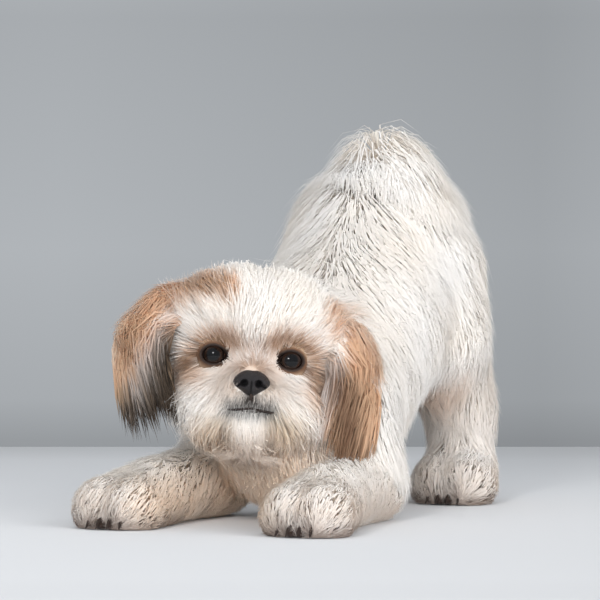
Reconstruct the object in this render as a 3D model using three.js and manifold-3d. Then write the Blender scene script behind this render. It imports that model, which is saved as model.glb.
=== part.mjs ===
// A shih tzu in a play bow: elbows and forepaws on the floor, rump raised, head turned to its left.
// Millimetres, +Z up. The dog faces -Y and its left side is +X. The floor is z = 0.
// Each part is flesh of a named size under a coat of a named depth. A smooth core fills the flesh
// and the lower part of the coat, and flat tapered locks rise from it to the coat's outer surface.

import * as THREE from "three";
import { mergeVertices } from "three/addons/utils/BufferGeometryUtils.js";
import Module from "manifold-3d";

const wasm = await Module();
wasm.setup();

const v = (x, y, z) => new THREE.Vector3(x, y, z);
const { clamp, degToRad, lerp, smoothstep } = THREE.MathUtils;

// Driving dimensions
const GAP = 0.4; // between pieces that touch
const GRAINS = [8, 9, 10, 11, 12, 13, 14, 16].map((n) => 1 / n); // of the grid that vertices sit on
const BLEND = 4; // softness of the joins between the stations of one part
const CORE_SHARE = 0.4; // how much of the coat's depth the core fills
const ROOT_DEPTH = 4; // how deep a lock starts under the core's surface
const BURIED = 3; // depth in another part's core past which no lock grows
const LOCK_CLEARANCE = 9; // from the root of one part's lock to a lock of another part
const FLOOR_CLEARANCE = 2.5; // of the middle of a lock that lies on the floor
const LOWEST_BEND = 4; // height of a lock's first bend, under which it would be pressed out of sight
const EYE_RADIUS = 10.5;
const EYE_SPREAD = 25; // from the middle of the face to the middle of an eye's opening
const EYE_OPENING = { width: 17, height: 14.5 };
const LID_THICKNESS = 2;
const NOSE_SIZE = { width: 23, height: 17, depth: 15 };
const LIP = { radius: 1.9, parting: 1.5, line: 0.8, halfWidth: 17 };
const EAR_FLAP = { width: 32, thickness: 5, cup: 6, share: 0.68, room: 4 };
const TOE_SPREAD = 8; // from the middle of a paw to the middle of either row of toes
const FACE_COAT = { least: 0.15, from: 4, to: 40 }; // share of the coat's depth near the face, and how far
const CLAW = { radius: 1.7, length: 12, spacing: 7, reach: 19 };
const HEAD_CENTRE = v(-9.5, 0, 106.5);
const HEAD_TURN = { yaw: 26, pitch: 6, roll: 4.5 }; // degrees, to its left, up, left ear down
const COLLAR = { at: v(0, 30, 80), forward: v(0, -0.85, 0.53).normalize() }; // where the neck begins
const PLUME_TOP = v(-6, 232, 278); // from where the tail's hair falls to all sides

// The locks of each part
const TORSO_LOCKS = { length: 70, width: 36, thickness: 5, bends: 3 };
const NECK_LOCKS = { length: 56, width: 38, thickness: 5, bends: 3 };
const TAIL_LOCKS = { length: 66, width: 32, thickness: 4.5, bends: 3 };
const HEAD_LOCKS = { length: 40, width: 26, thickness: 4, bends: 3 };
const EAR_LOCKS = { length: 48, width: 18, thickness: 3, bends: 2 };
const LEG_LOCKS = { length: 40, width: 27, thickness: 4.5, bends: 2 };
const PAW_LOCKS = { length: 22, width: 19, thickness: 4, bends: 2 };
const LOCK_SIDES = 3;
const LEAST_FULLNESS = 0.08; // of the box that a lock would fill, under which it is folded
const LOCK_RISE = 1.2; // how high a tip ends, as a share of the coat's depth
const VARIED = { length: 0.15, width: 0.12, rise: 0.06, swing: 0.4 };

// The head's own axes: x to its left, y forwards, z up
const headAxes = (() => {
  const yaw = degToRad(HEAD_TURN.yaw);
  const pitch = degToRad(HEAD_TURN.pitch);
  const roll = degToRad(HEAD_TURN.roll);
  const side = v(Math.cos(yaw), Math.sin(yaw), 0);
  const forward = v(Math.sin(yaw) * Math.cos(pitch), -Math.cos(yaw) * Math.cos(pitch), Math.sin(pitch));
  const up = v(0, 0, 0).crossVectors(side, forward).negate();
  const left = side.clone().multiplyScalar(Math.cos(roll)).addScaledVector(up, -Math.sin(roll));
  const crown = up.clone().multiplyScalar(Math.cos(roll)).addScaledVector(side, Math.sin(roll));
  return { left, forward, crown };
})();

function headDirection(x, y, z) {
  const { left, forward, crown } = headAxes;
  return v(0, 0, 0).addScaledVector(left, x).addScaledVector(forward, y).addScaledVector(crown, z);
}

const headPoint = (x, y, z) => headDirection(x, y, z).add(HEAD_CENTRE);

function inHead(p) {
  const q = p.clone().sub(HEAD_CENTRE);
  return v(q.dot(headAxes.left), q.dot(headAxes.forward), q.dot(headAxes.crown));
}

// A station of a part: where it is, the radius of the flesh, and the coat's depth over it
const station = (at, flesh, coat) => ({ at, flesh, coat });
const mirrored = (chain) => chain.map((s) => station(v(-s.at.x, s.at.y, s.at.z), s.flesh, s.coat));

const TORSO = [
  station(v(0, 36, 57), 38, 15), // brisket
  station(v(0, 75, 82), 44, 24), // chest
  station(v(0, 140, 126), 41, 28), // loin
  station(v(-4, 188, 178), 39, 27), // hips
  station(v(-4, 216, 184), 34, 26), // croup
];
const NECK = [station(v(0, 60, 90), 34, 18), station(v(-6, 12, 104), 30, 18)];
const CRANIUM = [station(headPoint(-8, -2, 10), 35, 20), station(headPoint(8, -2, 10), 35, 20)];
const MUZZLE = [station(headPoint(0, 14, -14), 24, 22), station(headPoint(0, 26, -20), 19, 24)];
const JOWLS = [station(headPoint(-16, 20, -24), 14, 26), station(headPoint(16, 20, -24), 14, 26)];
const CHIN = [station(headPoint(0, 18, -36), 12, 20), station(headPoint(0, 29, -41), 9, 20)];
const TAIL = [
  station(v(-4, 226, 206), 9, 21),
  station(v(-5, 238, 224), 8, 26),
  station(v(-4, 226, 237), 7, 30),
  station(v(4, 206, 238), 6, 32),
  station(v(18, 190, 220), 5, 30),
];
const LEFT_UPPER_ARM = [station(v(34, 50, 78), 22, 14), station(v(46, 56, 26), 16, 14)];
const LEFT_FOREARM = [station(v(46, 56, 24), 16, 14), station(v(56, -26, 18), 12, 13)];
const RIGHT_UPPER_ARM = [station(v(-36, 46, 80), 22, 14), station(v(-58, 44, 30), 16, 14)];
const RIGHT_FOREARM = [station(v(-58, 44, 28), 16, 14), station(v(-68, -28, 19), 12, 13)];
const THIGH = [station(v(26, 198, 160), 32, 18), station(v(40, 188, 118), 23, 18)];
const SHIN = [station(v(40, 188, 118), 23, 18), station(v(43, 232, 66), 12, 15)];
const HOCK = [station(v(43, 232, 66), 12, 15), station(v(43, 230, 26), 11, 12)];
const LEFT_EAR = [
  station(headPoint(35, -8, 26), 5, 11),
  station(headPoint(65, 0, 12), 4, 13),
  station(headPoint(74, 4, -18), 4, 13),
  station(headPoint(68, 6, -54), 2, 8),
];
const RIGHT_EAR = [
  station(headPoint(-35, -8, 30), 5, 11),
  station(headPoint(-66, 0, 22), 4, 13),
  station(headPoint(-81, 4, -8), 4, 13),
  station(headPoint(-70, 6, -45), 2, 8),
];

// A paw is two rows of toes side by side, from the wrist to their tips
const pawRows = ({ wrist, toes }) =>
  [-1, 1].map((sign) => [
    station(wrist.clone().add(v(sign * TOE_SPREAD * 0.4, 0, 0)), 11, 11),
    station(toes.clone().add(v(sign * TOE_SPREAD, 0, 0)), 11, 10),
  ]);
const LEFT_FOREPAW = { wrist: v(56, -28, 18), toes: v(65, -70, 12) };
const RIGHT_FOREPAW = { wrist: v(-68, -30, 19), toes: v(-75, -70, 12) };
const LEFT_HINDPAW = { wrist: v(43, 228, 24), toes: v(44, 208, 13) };
const RIGHT_HINDPAW = { wrist: v(-43, 228, 24), toes: v(-44, 208, 13) };

const TRUNK = [TORSO, NECK];
const HEAD = [CRANIUM, MUZZLE, JOWLS, CHIN];
const FORELEGS = [LEFT_UPPER_ARM, LEFT_FOREARM, RIGHT_UPPER_ARM, RIGHT_FOREARM];
const HINDLEGS = [THIGH, SHIN, HOCK].flatMap((chain) => [chain, mirrored(chain)]);
const PAWS = [LEFT_FOREPAW, RIGHT_FOREPAW, LEFT_HINDPAW, RIGHT_HINDPAW].flatMap(pawRows);
const BODY = [...TRUNK, ...HEAD, ...FORELEGS, ...HINDLEGS, ...PAWS];

// The same draws each time, from 0 to 1
function drawsFrom(seed) {
  let state = seed;
  return () => {
    state = (state + 0x6d2b79f5) | 0;
    let t = Math.imul(state ^ (state >>> 15), 1 | state);
    t = (t + Math.imul(t ^ (t >>> 7), 61 | t)) ^ t;
    return ((t ^ (t >>> 14)) >>> 0) / 2 ** 32;
  };
}

// How far a point of the head is from the bare lines between the eyes, the nose and the mouth
function fromFace(p) {
  const local = inHead(p);
  const eye = v(Math.sign(local.x || 1) * EYE_SPREAD, 27, 0);
  const nose = v(0, 44, -16);
  const lines = [new THREE.Line3(eye, nose), new THREE.Line3(nose, v(0, 38, -36))];
  return Math.min(...lines.map((l) => l.closestPointToPoint(local, true, v(0, 0, 0)).distanceTo(local)));
}

// The coat's depth as a share: short round the eyes, the nose and the mouth
function depthShare(p) {
  if (p.distanceTo(HEAD_CENTRE) > 90) return 1;
  return lerp(FACE_COAT.least, 1, smoothstep(fromFace(p), FACE_COAT.from, FACE_COAT.to));
}

// Distance from a point to the surface of one segment, whose radius goes from one end's to the other's
function segmentDistance(p, from, to, share) {
  const axis = to.at.clone().sub(from.at);
  const along = clamp(p.clone().sub(from.at).dot(axis) / axis.lengthSq(), 0, 1);
  const near = from.at.clone().addScaledVector(axis, along);
  return p.distanceTo(near) - lerp(from.flesh + share * from.coat, to.flesh + share * to.coat, along);
}

// The smooth union of several chains of stations as a signed distance, at a share of the coat's depth
function fieldOf(chains, share) {
  return (p) => {
    const here = share * depthShare(p);
    const all = chains.flatMap((c) => c.slice(1).map((to, i) => segmentDistance(p, c[i], to, here)));
    const least = Math.min(...all);
    return least - BLEND * Math.log(all.reduce((sum, d) => sum + Math.exp((least - d) / BLEND), 0));
  };
}

function slopeOf(field, p) {
  const step = 0.5;
  const at = (axis, way) => field(p.clone().addScaledVector(axis, way * step));
  const rise = (axis) => at(axis, 1) - at(axis, -1);
  return v(rise(v(1, 0, 0)), rise(v(0, 1, 0)), rise(v(0, 0, 1))).normalize();
}

// From a point inside a field, how far along a direction its surface lies, when grown by a little
function reach(field, origin, direction, grow) {
  const stride = 4;
  const outside = (t) => field(origin.clone().addScaledVector(direction, t)) > grow;
  let far = stride;
  while (!outside(far)) far += stride;
  let near = far - stride;
  for (let i = 0; i < 14; i++) {
    const half = (near + far) / 2;
    if (outside(half)) far = half;
    else near = half;
  }
  return (near + far) / 2;
}

// Solids for joining and cutting, from three.js geometry and back. A grid that was wrapped the other
// way round has its faces turned to point out.
function solidFrom(geometry) {
  const bare = geometry.clone();
  bare.deleteAttribute("normal");
  bare.deleteAttribute("uv");
  const merged = mergeVertices(bare, 1e-4);
  const vertProperties = new Float32Array(merged.attributes.position.array);
  const triVerts = new Uint32Array(merged.index.array);
  const made = new wasm.Manifold(new wasm.Mesh({ numProp: 3, vertProperties, triVerts }));
  if (made.volume() > 0) return made;
  return new wasm.Manifold(new wasm.Mesh({ numProp: 3, vertProperties, triVerts: triVerts.reverse() }));
}

function geometryFrom(solid) {
  const mesh = solid.getMesh();
  const geometry = new THREE.BufferGeometry();
  geometry.setAttribute("position", new THREE.BufferAttribute(new Float32Array(mesh.vertProperties), 3));
  geometry.setIndex(new THREE.BufferAttribute(new Uint32Array(mesh.triVerts), 1));
  geometry.computeVertexNormals();
  return geometry;
}

function joined(solids) {
  if (solids.length === 1) return solids[0];
  const half = Math.ceil(solids.length / 2);
  return joined(solids.slice(0, half)).add(joined(solids.slice(half)));
}

const largest = (solid) => solid.decompose().reduce((a, b) => (b.volume() > a.volume() ? b : a));

// A solid's vertices moved to a grid, and those that fall together joined
function onGrid(solid, grain) {
  const mesh = solid.getMesh();
  const known = new Map();
  const positions = [];
  const moved = [];
  for (let i = 0; i < mesh.numVert; i++) {
    const cell = [0, 1, 2].map((k) => Math.round(mesh.vertProperties[3 * i + k] / grain));
    const key = cell.join();
    if (!known.has(key)) {
      known.set(key, positions.length / 3);
      positions.push(...cell.map((c) => c * grain));
    }
    moved.push(known.get(key));
  }
  const faces = [];
  for (let i = 0; i < mesh.triVerts.length; i += 3) {
    const face = [0, 1, 2].map((k) => moved[mesh.triVerts[i + k]]);
    if (new Set(face).size === 3) faces.push(face);
  }
  return { positions, faces };
}

// Whether each edge joins just two faces
function isSimple(faces) {
  const uses = new Map();
  for (const face of faces) {
    for (let k = 0; k < 3; k++) {
      const edge = [face[k], face[(k + 1) % 3]].sort((a, b) => a - b).join();
      uses.set(edge, (uses.get(edge) ?? 0) + 1);
    }
  }
  return [...uses.values()].every((count) => count === 2);
}

// A solid on the coarsest of the grids that leaves its surface simple
function grained(solid) {
  for (const grain of GRAINS) {
    const { positions, faces } = onGrid(solid, grain);
    const vertProperties = new Float32Array(positions);
    const triVerts = new Uint32Array(faces.flat());
    if (isSimple(faces)) return new wasm.Manifold(new wasm.Mesh({ numProp: 3, vertProperties, triVerts }));
  }
  throw new Error("no grid leaves this surface simple");
}

// A geometry with every vertex moved
function reshaped(geometry, move) {
  const position = geometry.attributes.position;
  for (let i = 0; i < position.count; i++) {
    const at = move(v(0, 0, 0).fromBufferAttribute(position, i), i);
    position.setXYZ(i, at.x, at.y, at.z);
  }
  return geometry;
}

// A geometry with its z turned to a direction and its y towards another, then moved
function placed(geometry, at, forward, up = headAxes.crown) {
  return geometry.applyMatrix4(new THREE.Matrix4().lookAt(forward, v(0, 0, 0), up).setPosition(at));
}

const ballGeometry = (radius, around, rows) => new THREE.SphereGeometry(radius, around, rows);
const ball = (radius, at, around = 12, rows = 8) =>
  solidFrom(ballGeometry(radius, around, rows).translate(at.x, at.y, at.z));

// Where a ray leaves the straight line between a chain's ends, and its direction: turn goes round the
// line, and along goes from 0 at the first end's pole to 1 at the last's
function rayFrom(chain, turn, along, side) {
  const first = chain[0];
  const last = chain[chain.length - 1];
  const tangent = last.at.clone().sub(first.at).normalize();
  const capA = ((first.flesh + first.coat) * Math.PI) / 2;
  const capB = ((last.flesh + last.coat) * Math.PI) / 2;
  const length = first.at.distanceTo(last.at);
  const arc = along * (capA + length + capB);
  const origin = first.at.clone().addScaledVector(tangent, clamp(arc - capA, 0, length));
  const across = side.clone().addScaledVector(tangent, -side.dot(tangent)).normalize();
  const over = v(0, 0, 0).crossVectors(tangent, across);
  const outward = across.multiplyScalar(Math.cos(turn)).addScaledVector(over, Math.sin(turn));
  let lean = 0;
  if (arc < capA) lean = -(1 - arc / capA) * (Math.PI / 2);
  if (arc > capA + length) lean = ((arc - capA - length) / capB) * (Math.PI / 2);
  const direction = outward.multiplyScalar(Math.cos(lean)).addScaledVector(tangent, Math.sin(lean));
  return { origin, direction: direction.normalize() };
}

function carriedOut({ origin, direction }, field, grow) {
  return origin.clone().addScaledVector(direction, reach(field, origin, direction, grow));
}

// Where a vertex of a sphere's grid is: how far down its rows, and its turn round them. Each row ends on
// the place where it began, and each pole is one place.
function gridPlace(i, { around, rows }) {
  const row = Math.floor(i / (around + 1));
  const atPole = row === 0 || row === rows;
  const column = atPole ? 0 : (i % (around + 1)) % around;
  return { along: row / rows, turn: (column / around) * 2 * Math.PI, atPole };
}

// A closed skin round a chain of stations: a sphere's grid, each vertex carried out to the field
function wrapped(chain, field, grid, grow) {
  return solidFrom(
    reshaped(ballGeometry(1, grid.around, grid.rows), (_, i) => {
      const { along, turn } = gridPlace(i, grid);
      return carriedOut(rayFrom(chain, turn, along, grid.side), field, grow);
    }),
  );
}

// A closed skin round one point, with the grid's poles along a direction
function wrappedRound(origin, pole, field, { around, rows }, grow) {
  const turn = new THREE.Quaternion().setFromUnitVectors(v(0, 1, 0), pole);
  const grid = ballGeometry(1, around, rows).applyQuaternion(turn);
  return solidFrom(reshaped(grid, (p) => carriedOut({ origin, direction: p.normalize() }, field, grow)));
}

const limbCore = (chain, grid) => (grow) => wrapped(chain, fieldOf([chain], CORE_SHARE), grid, grow);
const coresOf = (chains, grid) => (grow) => joined(chains.map((chain) => limbCore(chain, grid)(grow)));

// The way a lock takes: from a root under the core's surface, out through the coat as it follows the lie
function lockPath(root, chains, lieAt, { length, bends, rise, swing }) {
  const out = slopeOf(fieldOf(chains, CORE_SHARE), root);
  const path = [{ at: root.clone().addScaledVector(out, -ROOT_DEPTH), out }];
  let at = root;
  for (let i = 1; i <= bends; i++) {
    const field = fieldOf(chains, lerp(CORE_SHARE, rise, (i / bends) ** 0.35));
    const normal = slopeOf(field, at);
    const lie = lieAt(at);
    lie.addScaledVector(normal, -lie.dot(normal)).normalize();
    lie.applyAxisAngle(normal, (swing * (i - bends / 2)) / bends);
    at = at.clone().addScaledVector(lie, length / bends);
    at.addScaledVector(slopeOf(field, at), -field(at));
    at.z = Math.max(at.z, FLOOR_CLEARANCE);
    path.push({ at, out: slopeOf(field, at) });
  }
  return path;
}

// A lock's half width and half thickness at one of its rings: widest near its root
function lockSize({ bends, width, thickness }, ring) {
  const along = ring / bends;
  const wide = ring === 0 ? 0.6 : lerp(1.1, 0.6, along);
  return { wide: (wide * width) / 2, deep: (lerp(1, 0.6, along) * thickness) / 2 };
}

// A flat lock of hair with a ridge along it, bent along its path to a pointed tip. A grown one is wider
// and thicker about the same path, so that each of its faces has moved out, and its tip is further on.
function lock({ path, shape }, grow = 0) {
  const { bends, length } = shape;
  const facing = path.slice(1).reduce((sum, { out }) => sum.add(out), v(0, 0, 0));
  const tip = (2 * grow * length) / bends / lockSize(shape, bends - 1).deep;
  return solidFrom(
    reshaped(new THREE.ConeGeometry(1, 1, LOCK_SIDES, bends), (p) => {
      const ring = Math.round((p.y + 0.5) * bends);
      const { at } = path[ring];
      const before = path[Math.max(ring - 1, 0)].at;
      const after = path[Math.min(ring + 1, bends)].at;
      const tangent = after.clone().sub(before).normalize();
      if (ring === bends) return at.clone().addScaledVector(tangent, tip);
      const side = v(0, 0, 0).crossVectors(tangent, facing).normalize();
      const up = v(0, 0, 0).crossVectors(side, tangent);
      const { wide, deep } = lockSize(shape, ring);
      const unit = (1 + (2 * grow) / deep) / (1 - ring / bends);
      return at
        .clone()
        .addScaledVector(side, p.x * unit * wide)
        .addScaledVector(up, p.z * unit * deep)
        .addScaledVector(tangent, ring === 0 ? -grow : 0);
    }),
  );
}

// Whether a lock is as full as a straight one nearly is, and not folded on itself by a sharp bend
function isOpen(piece) {
  const { length, width, thickness } = piece.shape;
  return lock(piece).volume() > LEAST_FULLNESS * length * width * thickness;
}

// Locks grown from those of a set of roots that aren't buried in another part, each varied a little
function locksFrom(roots, draw, chains, lieAt, size) {
  const vary = (amount) => 1 + amount * (2 * draw() - 1);
  const core = fieldOf(chains, CORE_SHARE);
  const grownFrom = (root) => {
    const shape = {
      ...size,
      length: size.length * vary(VARIED.length),
      width: size.width * vary(VARIED.width),
      rise: LOCK_RISE * vary(VARIED.rise),
      swing: VARIED.swing * (2 * draw() - 1),
    };
    return { shape, path: lockPath(root, chains, lieAt, shape) };
  };
  return roots.filter((root) => core(root) > -BURIED).map(grownFrom);
}

// Roots in staggered rows round a chain of stations
function rootsRound(chain, rows, around, draw, field = fieldOf([chain], CORE_SHARE)) {
  const roots = [];
  for (let row = 0; row < rows; row++) {
    const along = (row + 0.5) / rows;
    const count = Math.max(3, Math.round(around * Math.sin(Math.PI * clamp(along, 0.15, 0.85)) ** 0.6));
    for (let i = 0; i < count; i++) {
      const turn = ((i + (row % 2) / 2 + 0.3 * draw()) / count) * 2 * Math.PI;
      const ray = rayFrom(chain, turn, along + (0.2 * (draw() - 0.5)) / rows, v(1, 0, 0));
      roots.push(carriedOut(ray, field, 0));
    }
  }
  return roots;
}

// Roots spread evenly over a form round one point, on a spiral
function rootsAbout(origin, field, count, draw) {
  const roots = [];
  for (let i = 0; i < count; i++) {
    const height = 1 - (2 * (i + 0.5)) / count;
    const turn = i * Math.PI * (3 - Math.sqrt(5)) + 0.2 * draw();
    const across = Math.sqrt(1 - height * height);
    const direction = headDirection(across * Math.cos(turn), across * Math.sin(turn), height);
    roots.push(carriedOut({ origin, direction }, field, 0));
  }
  return roots;
}

// The lie of the coat: long hair falls with its weight, parted along the back and over the forehead
const partedAt = (x) => clamp(x / 30, -1, 1);
const trunkLie = (p) => v(0.7 * partedAt(p.x + 2), 0.1, -1);
const neckLie = (p) => v(0.5 * partedAt(p.x), -0.2, -1);
const legLie = () => v(0, 0.15, -1);
const forearmLie = (p) => v(0.2 * partedAt(p.x), -0.8, -0.6);
const pawLie = () => v(0, -1, -0.7);
const plumeLie = (p) => p.clone().sub(PLUME_TOP).normalize().add(v(0.35, -0.25, -0.5));

function headLie(p) {
  const q = inHead(p);
  const top = smoothstep(q.z, -5, 35);
  const over = headDirection(1.2 * partedAt(q.x), -0.8, 0.2);
  const down = headDirection(0.4 * partedAt(q.x), -0.35, -1);
  return over.multiplyScalar(top).addScaledVector(down, 1 - top);
}

// The trunk and the neck are one form, parted by a slanting plane just before the shoulders
const TRUNK_GRID = { around: 11, rows: 8, side: v(1, 0, 0) };
function collarBlock(from, to) {
  const block = new THREE.BoxGeometry(600, 600, to - from).translate(0, 0, (from + to) / 2);
  return solidFrom(placed(block, COLLAR.at, COLLAR.forward));
}

const torsoCore = (grow) => coresOf(TRUNK, TRUNK_GRID)(grow).intersect(collarBlock(-500, grow - GAP / 2));
const neckCore = (grow) => coresOf(TRUNK, TRUNK_GRID)(grow).intersect(collarBlock(GAP / 2 - grow, 500));
const behindCollar = (p) => p.clone().sub(COLLAR.at).dot(COLLAR.forward) < 0;

const PLUME_MIDDLE = v(2, 212, 225);
const tailCore = (grow) =>
  wrappedRound(PLUME_MIDDLE, v(0, 0, 1), fieldOf([TAIL], CORE_SHARE), { around: 10, rows: 7 }, grow);

// The head's core, with lids round each eye and lips along the line of the mouth
const HEAD_MIDDLE = headPoint(0, 4, -6);
const headSkin = (grow) =>
  wrappedRound(HEAD_MIDDLE, headAxes.forward, fieldOf(HEAD, CORE_SHARE), { around: 18, rows: 13 }, grow);
const eyeCentre = (sign) => headPoint(sign * 24, 18, 0);
const gaze = (sign) => headDirection(sign * 0.22, 1, 0.02).normalize();
const lid = (sign, grow = 0) => ball(EYE_RADIUS + GAP + LID_THICKNESS + grow, eyeCentre(sign), 14, 9);

function eyeHollow(sign) {
  const almond = new THREE.CylinderGeometry(1, 1, 24, 12).rotateX(Math.PI / 2).translate(0, 0, 12);
  almond.scale(EYE_OPENING.width / 2, EYE_OPENING.height / 2, 1);
  return ball(EYE_RADIUS + GAP, eyeCentre(sign)).add(solidFrom(placed(almond, eyeCentre(sign), gaze(sign))));
}

// The line of the mouth: highest under the nose, its corners turned down and back
function mouthCurve(lift) {
  const field = fieldOf(HEAD, CORE_SHARE);
  const points = [];
  for (let i = -4; i <= 4; i++) {
    const across = i / 4;
    const origin = headPoint(0, 12, -35 - 2 * across ** 2 + lift);
    const target = headPoint(LIP.halfWidth * across, 36 - 8 * across ** 2, -35 - 3 * across ** 2 + lift);
    points.push(carriedOut({ origin, direction: target.sub(origin).normalize() }, field, 0));
  }
  return new THREE.CatmullRomCurve3(points);
}

function tube(path, radius, steps, sides) {
  const round = new THREE.Shape().absarc(0, 0, radius, 0, 2 * Math.PI);
  const options = { steps, extrudePath: path, curveSegments: sides, bevelEnabled: false };
  return solidFrom(new THREE.ExtrudeGeometry(round, options));
}

const lips = () => [LIP.parting, -LIP.parting].map((lift) => tube(mouthCurve(lift), LIP.radius, 6, 3));
const headCore = (grow) => joined([headSkin(grow), lid(-1, grow), lid(1, grow)]);

// The nose leather: wide above, narrow below, with two comma-shaped nostrils and a groove under it
const NOSE_CENTRE = headPoint(0, 43, -18);

function noseLeather(grow) {
  const leather = reshaped(ballGeometry(1, 12, 9), ({ x, y, z }) => {
    const taper = 1 - 0.32 * smoothstep(-y, 0, 1);
    const square = 1 + 0.16 * (1 - y * y) * Math.abs(x);
    return v(
      x * taper * square * (NOSE_SIZE.width / 2 + grow),
      y * (NOSE_SIZE.height / 2 + grow),
      z * (NOSE_SIZE.depth / 2 + grow),
    );
  });
  return solidFrom(placed(leather, NOSE_CENTRE, headAxes.forward));
}

function nose() {
  const inNose = (geometry) => solidFrom(placed(geometry, NOSE_CENTRE, headAxes.forward));
  const nostrils = [-1, 1].flatMap((sign) => [
    inNose(ballGeometry(1, 7, 5).scale(2.6, 2.3, 5).translate(sign * 4.8, -0.6, 7)),
    inNose(ballGeometry(1, 6, 4).scale(3.2, 1.1, 3.4).rotateZ(sign * 0.3).translate(sign * 7.8, -2, 5.4)),
  ]);
  const groove = inNose(new THREE.BoxGeometry(0.9, 9, 2.4).translate(0, -6.5, 7.4));
  return noseLeather(0).subtract(joined([...nostrils, groove]));
}

// The ear's width along it, as a share: narrow at the root and round at the tip
const earSwell = (along) => Math.sin(Math.PI * lerp(0.12, 1, along)) ** 0.6;

// The ear's leather: a drooping flap, cupped towards the head
function earFlap(chain, grow) {
  const spine = new THREE.CatmullRomCurve3(chain.map((s) => s.at));
  const grid = { around: 10, rows: 7 };
  return solidFrom(
    reshaped(ballGeometry(1, grid.around, grid.rows), (_, i) => {
      const { along, turn, atPole } = gridPlace(i, grid);
      const { at, tangent, wide, outer } = earFrame(spine, chain, along);
      const swell = atPole ? 0 : earSwell(along);
      const across = Math.cos(turn) * swell;
      const over = Math.sin(turn) * swell * (EAR_FLAP.thickness / 2 + EAR_FLAP.room * grow);
      const beyond = atPole ? grow * Math.sign(along - 0.5) : 0;
      return at
        .addScaledVector(wide, across * (EAR_FLAP.width / 2 + EAR_FLAP.room * grow))
        .addScaledVector(outer, over - EAR_FLAP.cup * across ** 2)
        .addScaledVector(tangent, beyond);
    }),
  );
}

// Along an ear: its middle, the way it hangs, its width and its outer side
function earFrame(spine, chain, along) {
  const at = spine.getPointAt(along * EAR_FLAP.share);
  const tangent = spine.getTangentAt(along * EAR_FLAP.share);
  const sign = Math.sign(inHead(chain[1].at).x);
  const outwards = headDirection(0.8 * sign, -0.6, 0);
  const wide = outwards.addScaledVector(tangent, -outwards.dot(tangent)).normalize();
  const outer = v(0, 0, 0).crossVectors(tangent, wide);
  if (outer.dot(headAxes.forward) < 0) outer.negate();
  return { at, tangent, wide, outer };
}

// Locks hang from the ear's outer face and from its rim, and cover the flap down past its tip
const EAR_ROOTS = { along: [0.08, 0.36, 0.64, 0.86], across: [-0.7, 0, 0.7] };
const EAR_FALL = { spread: 7, swell: 8.5, lift: 2 };

function earLock(chain, spine, along, across, draw) {
  const { at, wide, outer } = earFrame(spine, chain, along + 0.06 * draw());
  const offset = across * earSwell(along);
  at.addScaledVector(wide, (offset * EAR_FLAP.width) / 2);
  at.addScaledVector(outer, -EAR_FLAP.cup * offset ** 2);
  const shape = { ...EAR_LOCKS, length: EAR_LOCKS.length * lerp(0.85, 1.15, draw()) };
  const fall = spine.getPointAt(1).sub(spine.getPointAt(0.5)).normalize();
  const facing = headDirection(0.6 * Math.sign(inHead(chain[1].at).x), 0.8, 0.1);
  const path = [];
  for (let i = 0; i <= shape.bends; i++) {
    const t = i / shape.bends;
    const aside = across * EAR_FALL.spread * Math.sin(Math.PI * Math.min(t, 0.8));
    const swell = EAR_FALL.swell * Math.sin(Math.PI * Math.min(t, 0.55)) * (1 - Math.abs(across));
    const lifted = swell + EAR_FALL.lift * t;
    const place = at.clone().addScaledVector(fall, t * shape.length);
    place.addScaledVector(wide, aside).addScaledVector(facing, lifted);
    path.push({ at: place, out: facing });
  }
  return { shape, path };
}

function earLocks(chain, draw) {
  const spine = new THREE.CatmullRomCurve3(chain.map((s) => s.at));
  const { along, across } = EAR_ROOTS;
  return along.flatMap((down) => across.map((aside) => earLock(chain, spine, down, aside, draw)));
}

// A claw at the end of each toe, curved to the floor
function claws({ toes }) {
  return [-1.5, -0.5, 0.5, 1.5].map((place) => {
    const claw = new THREE.ConeGeometry(CLAW.radius, CLAW.length, 6).rotateX(Math.PI / 2);
    const at = toes.clone().add(v(place * CLAW.spacing, -CLAW.reach + Math.abs(place), -6));
    return solidFrom(placed(claw, at, v(0, -1, -0.25).normalize(), v(0, 0, 1)));
  });
}

const coat = new THREE.MeshStandardMaterial({ color: 0xf1ede6, roughness: 0.9, metalness: 0 });
const earCoat = new THREE.MeshStandardMaterial({ color: 0xb9835a, roughness: 0.9, metalness: 0 });
const eyeFinish = new THREE.MeshStandardMaterial({ color: 0x2a1a14, roughness: 0.1, metalness: 0 });
const noseFinish = new THREE.MeshStandardMaterial({ color: 0x1d1b1c, roughness: 0.45, metalness: 0 });

// The parts that carry hair, each whole against those after it and cut clear of those before it
const LIMB_GRID = { around: 7, rows: 6, side: v(1, 0, 0) };
const PAW_GRID = { around: 8, rows: 6, side: v(1, 0, 0) };

function headPart() {
  const draw = drawsFrom(11);
  const roots = rootsAbout(HEAD_MIDDLE, fieldOf(HEAD, CORE_SHARE), 60, draw).filter((p) => fromFace(p) > 14);
  return { core: headCore, extra: lips(), locks: locksFrom(roots, draw, BODY, headLie, HEAD_LOCKS) };
}

function earPart(chain, seed) {
  return { core: (grow) => earFlap(chain, grow), locks: earLocks(chain, drawsFrom(seed)) };
}

function tailPart() {
  const draw = drawsFrom(34);
  const roots = rootsAbout(PLUME_MIDDLE, fieldOf([TAIL], CORE_SHARE), 36, draw);
  return { core: tailCore, locks: locksFrom(roots, draw, [...BODY, TAIL], plumeLie, TAIL_LOCKS) };
}

function torsoPart() {
  const draw = drawsFrom(41);
  const roots = rootsRound(TORSO, 9, 11, draw).filter(behindCollar);
  return { core: torsoCore, locks: locksFrom(roots, draw, BODY, trunkLie, TORSO_LOCKS) };
}

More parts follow.
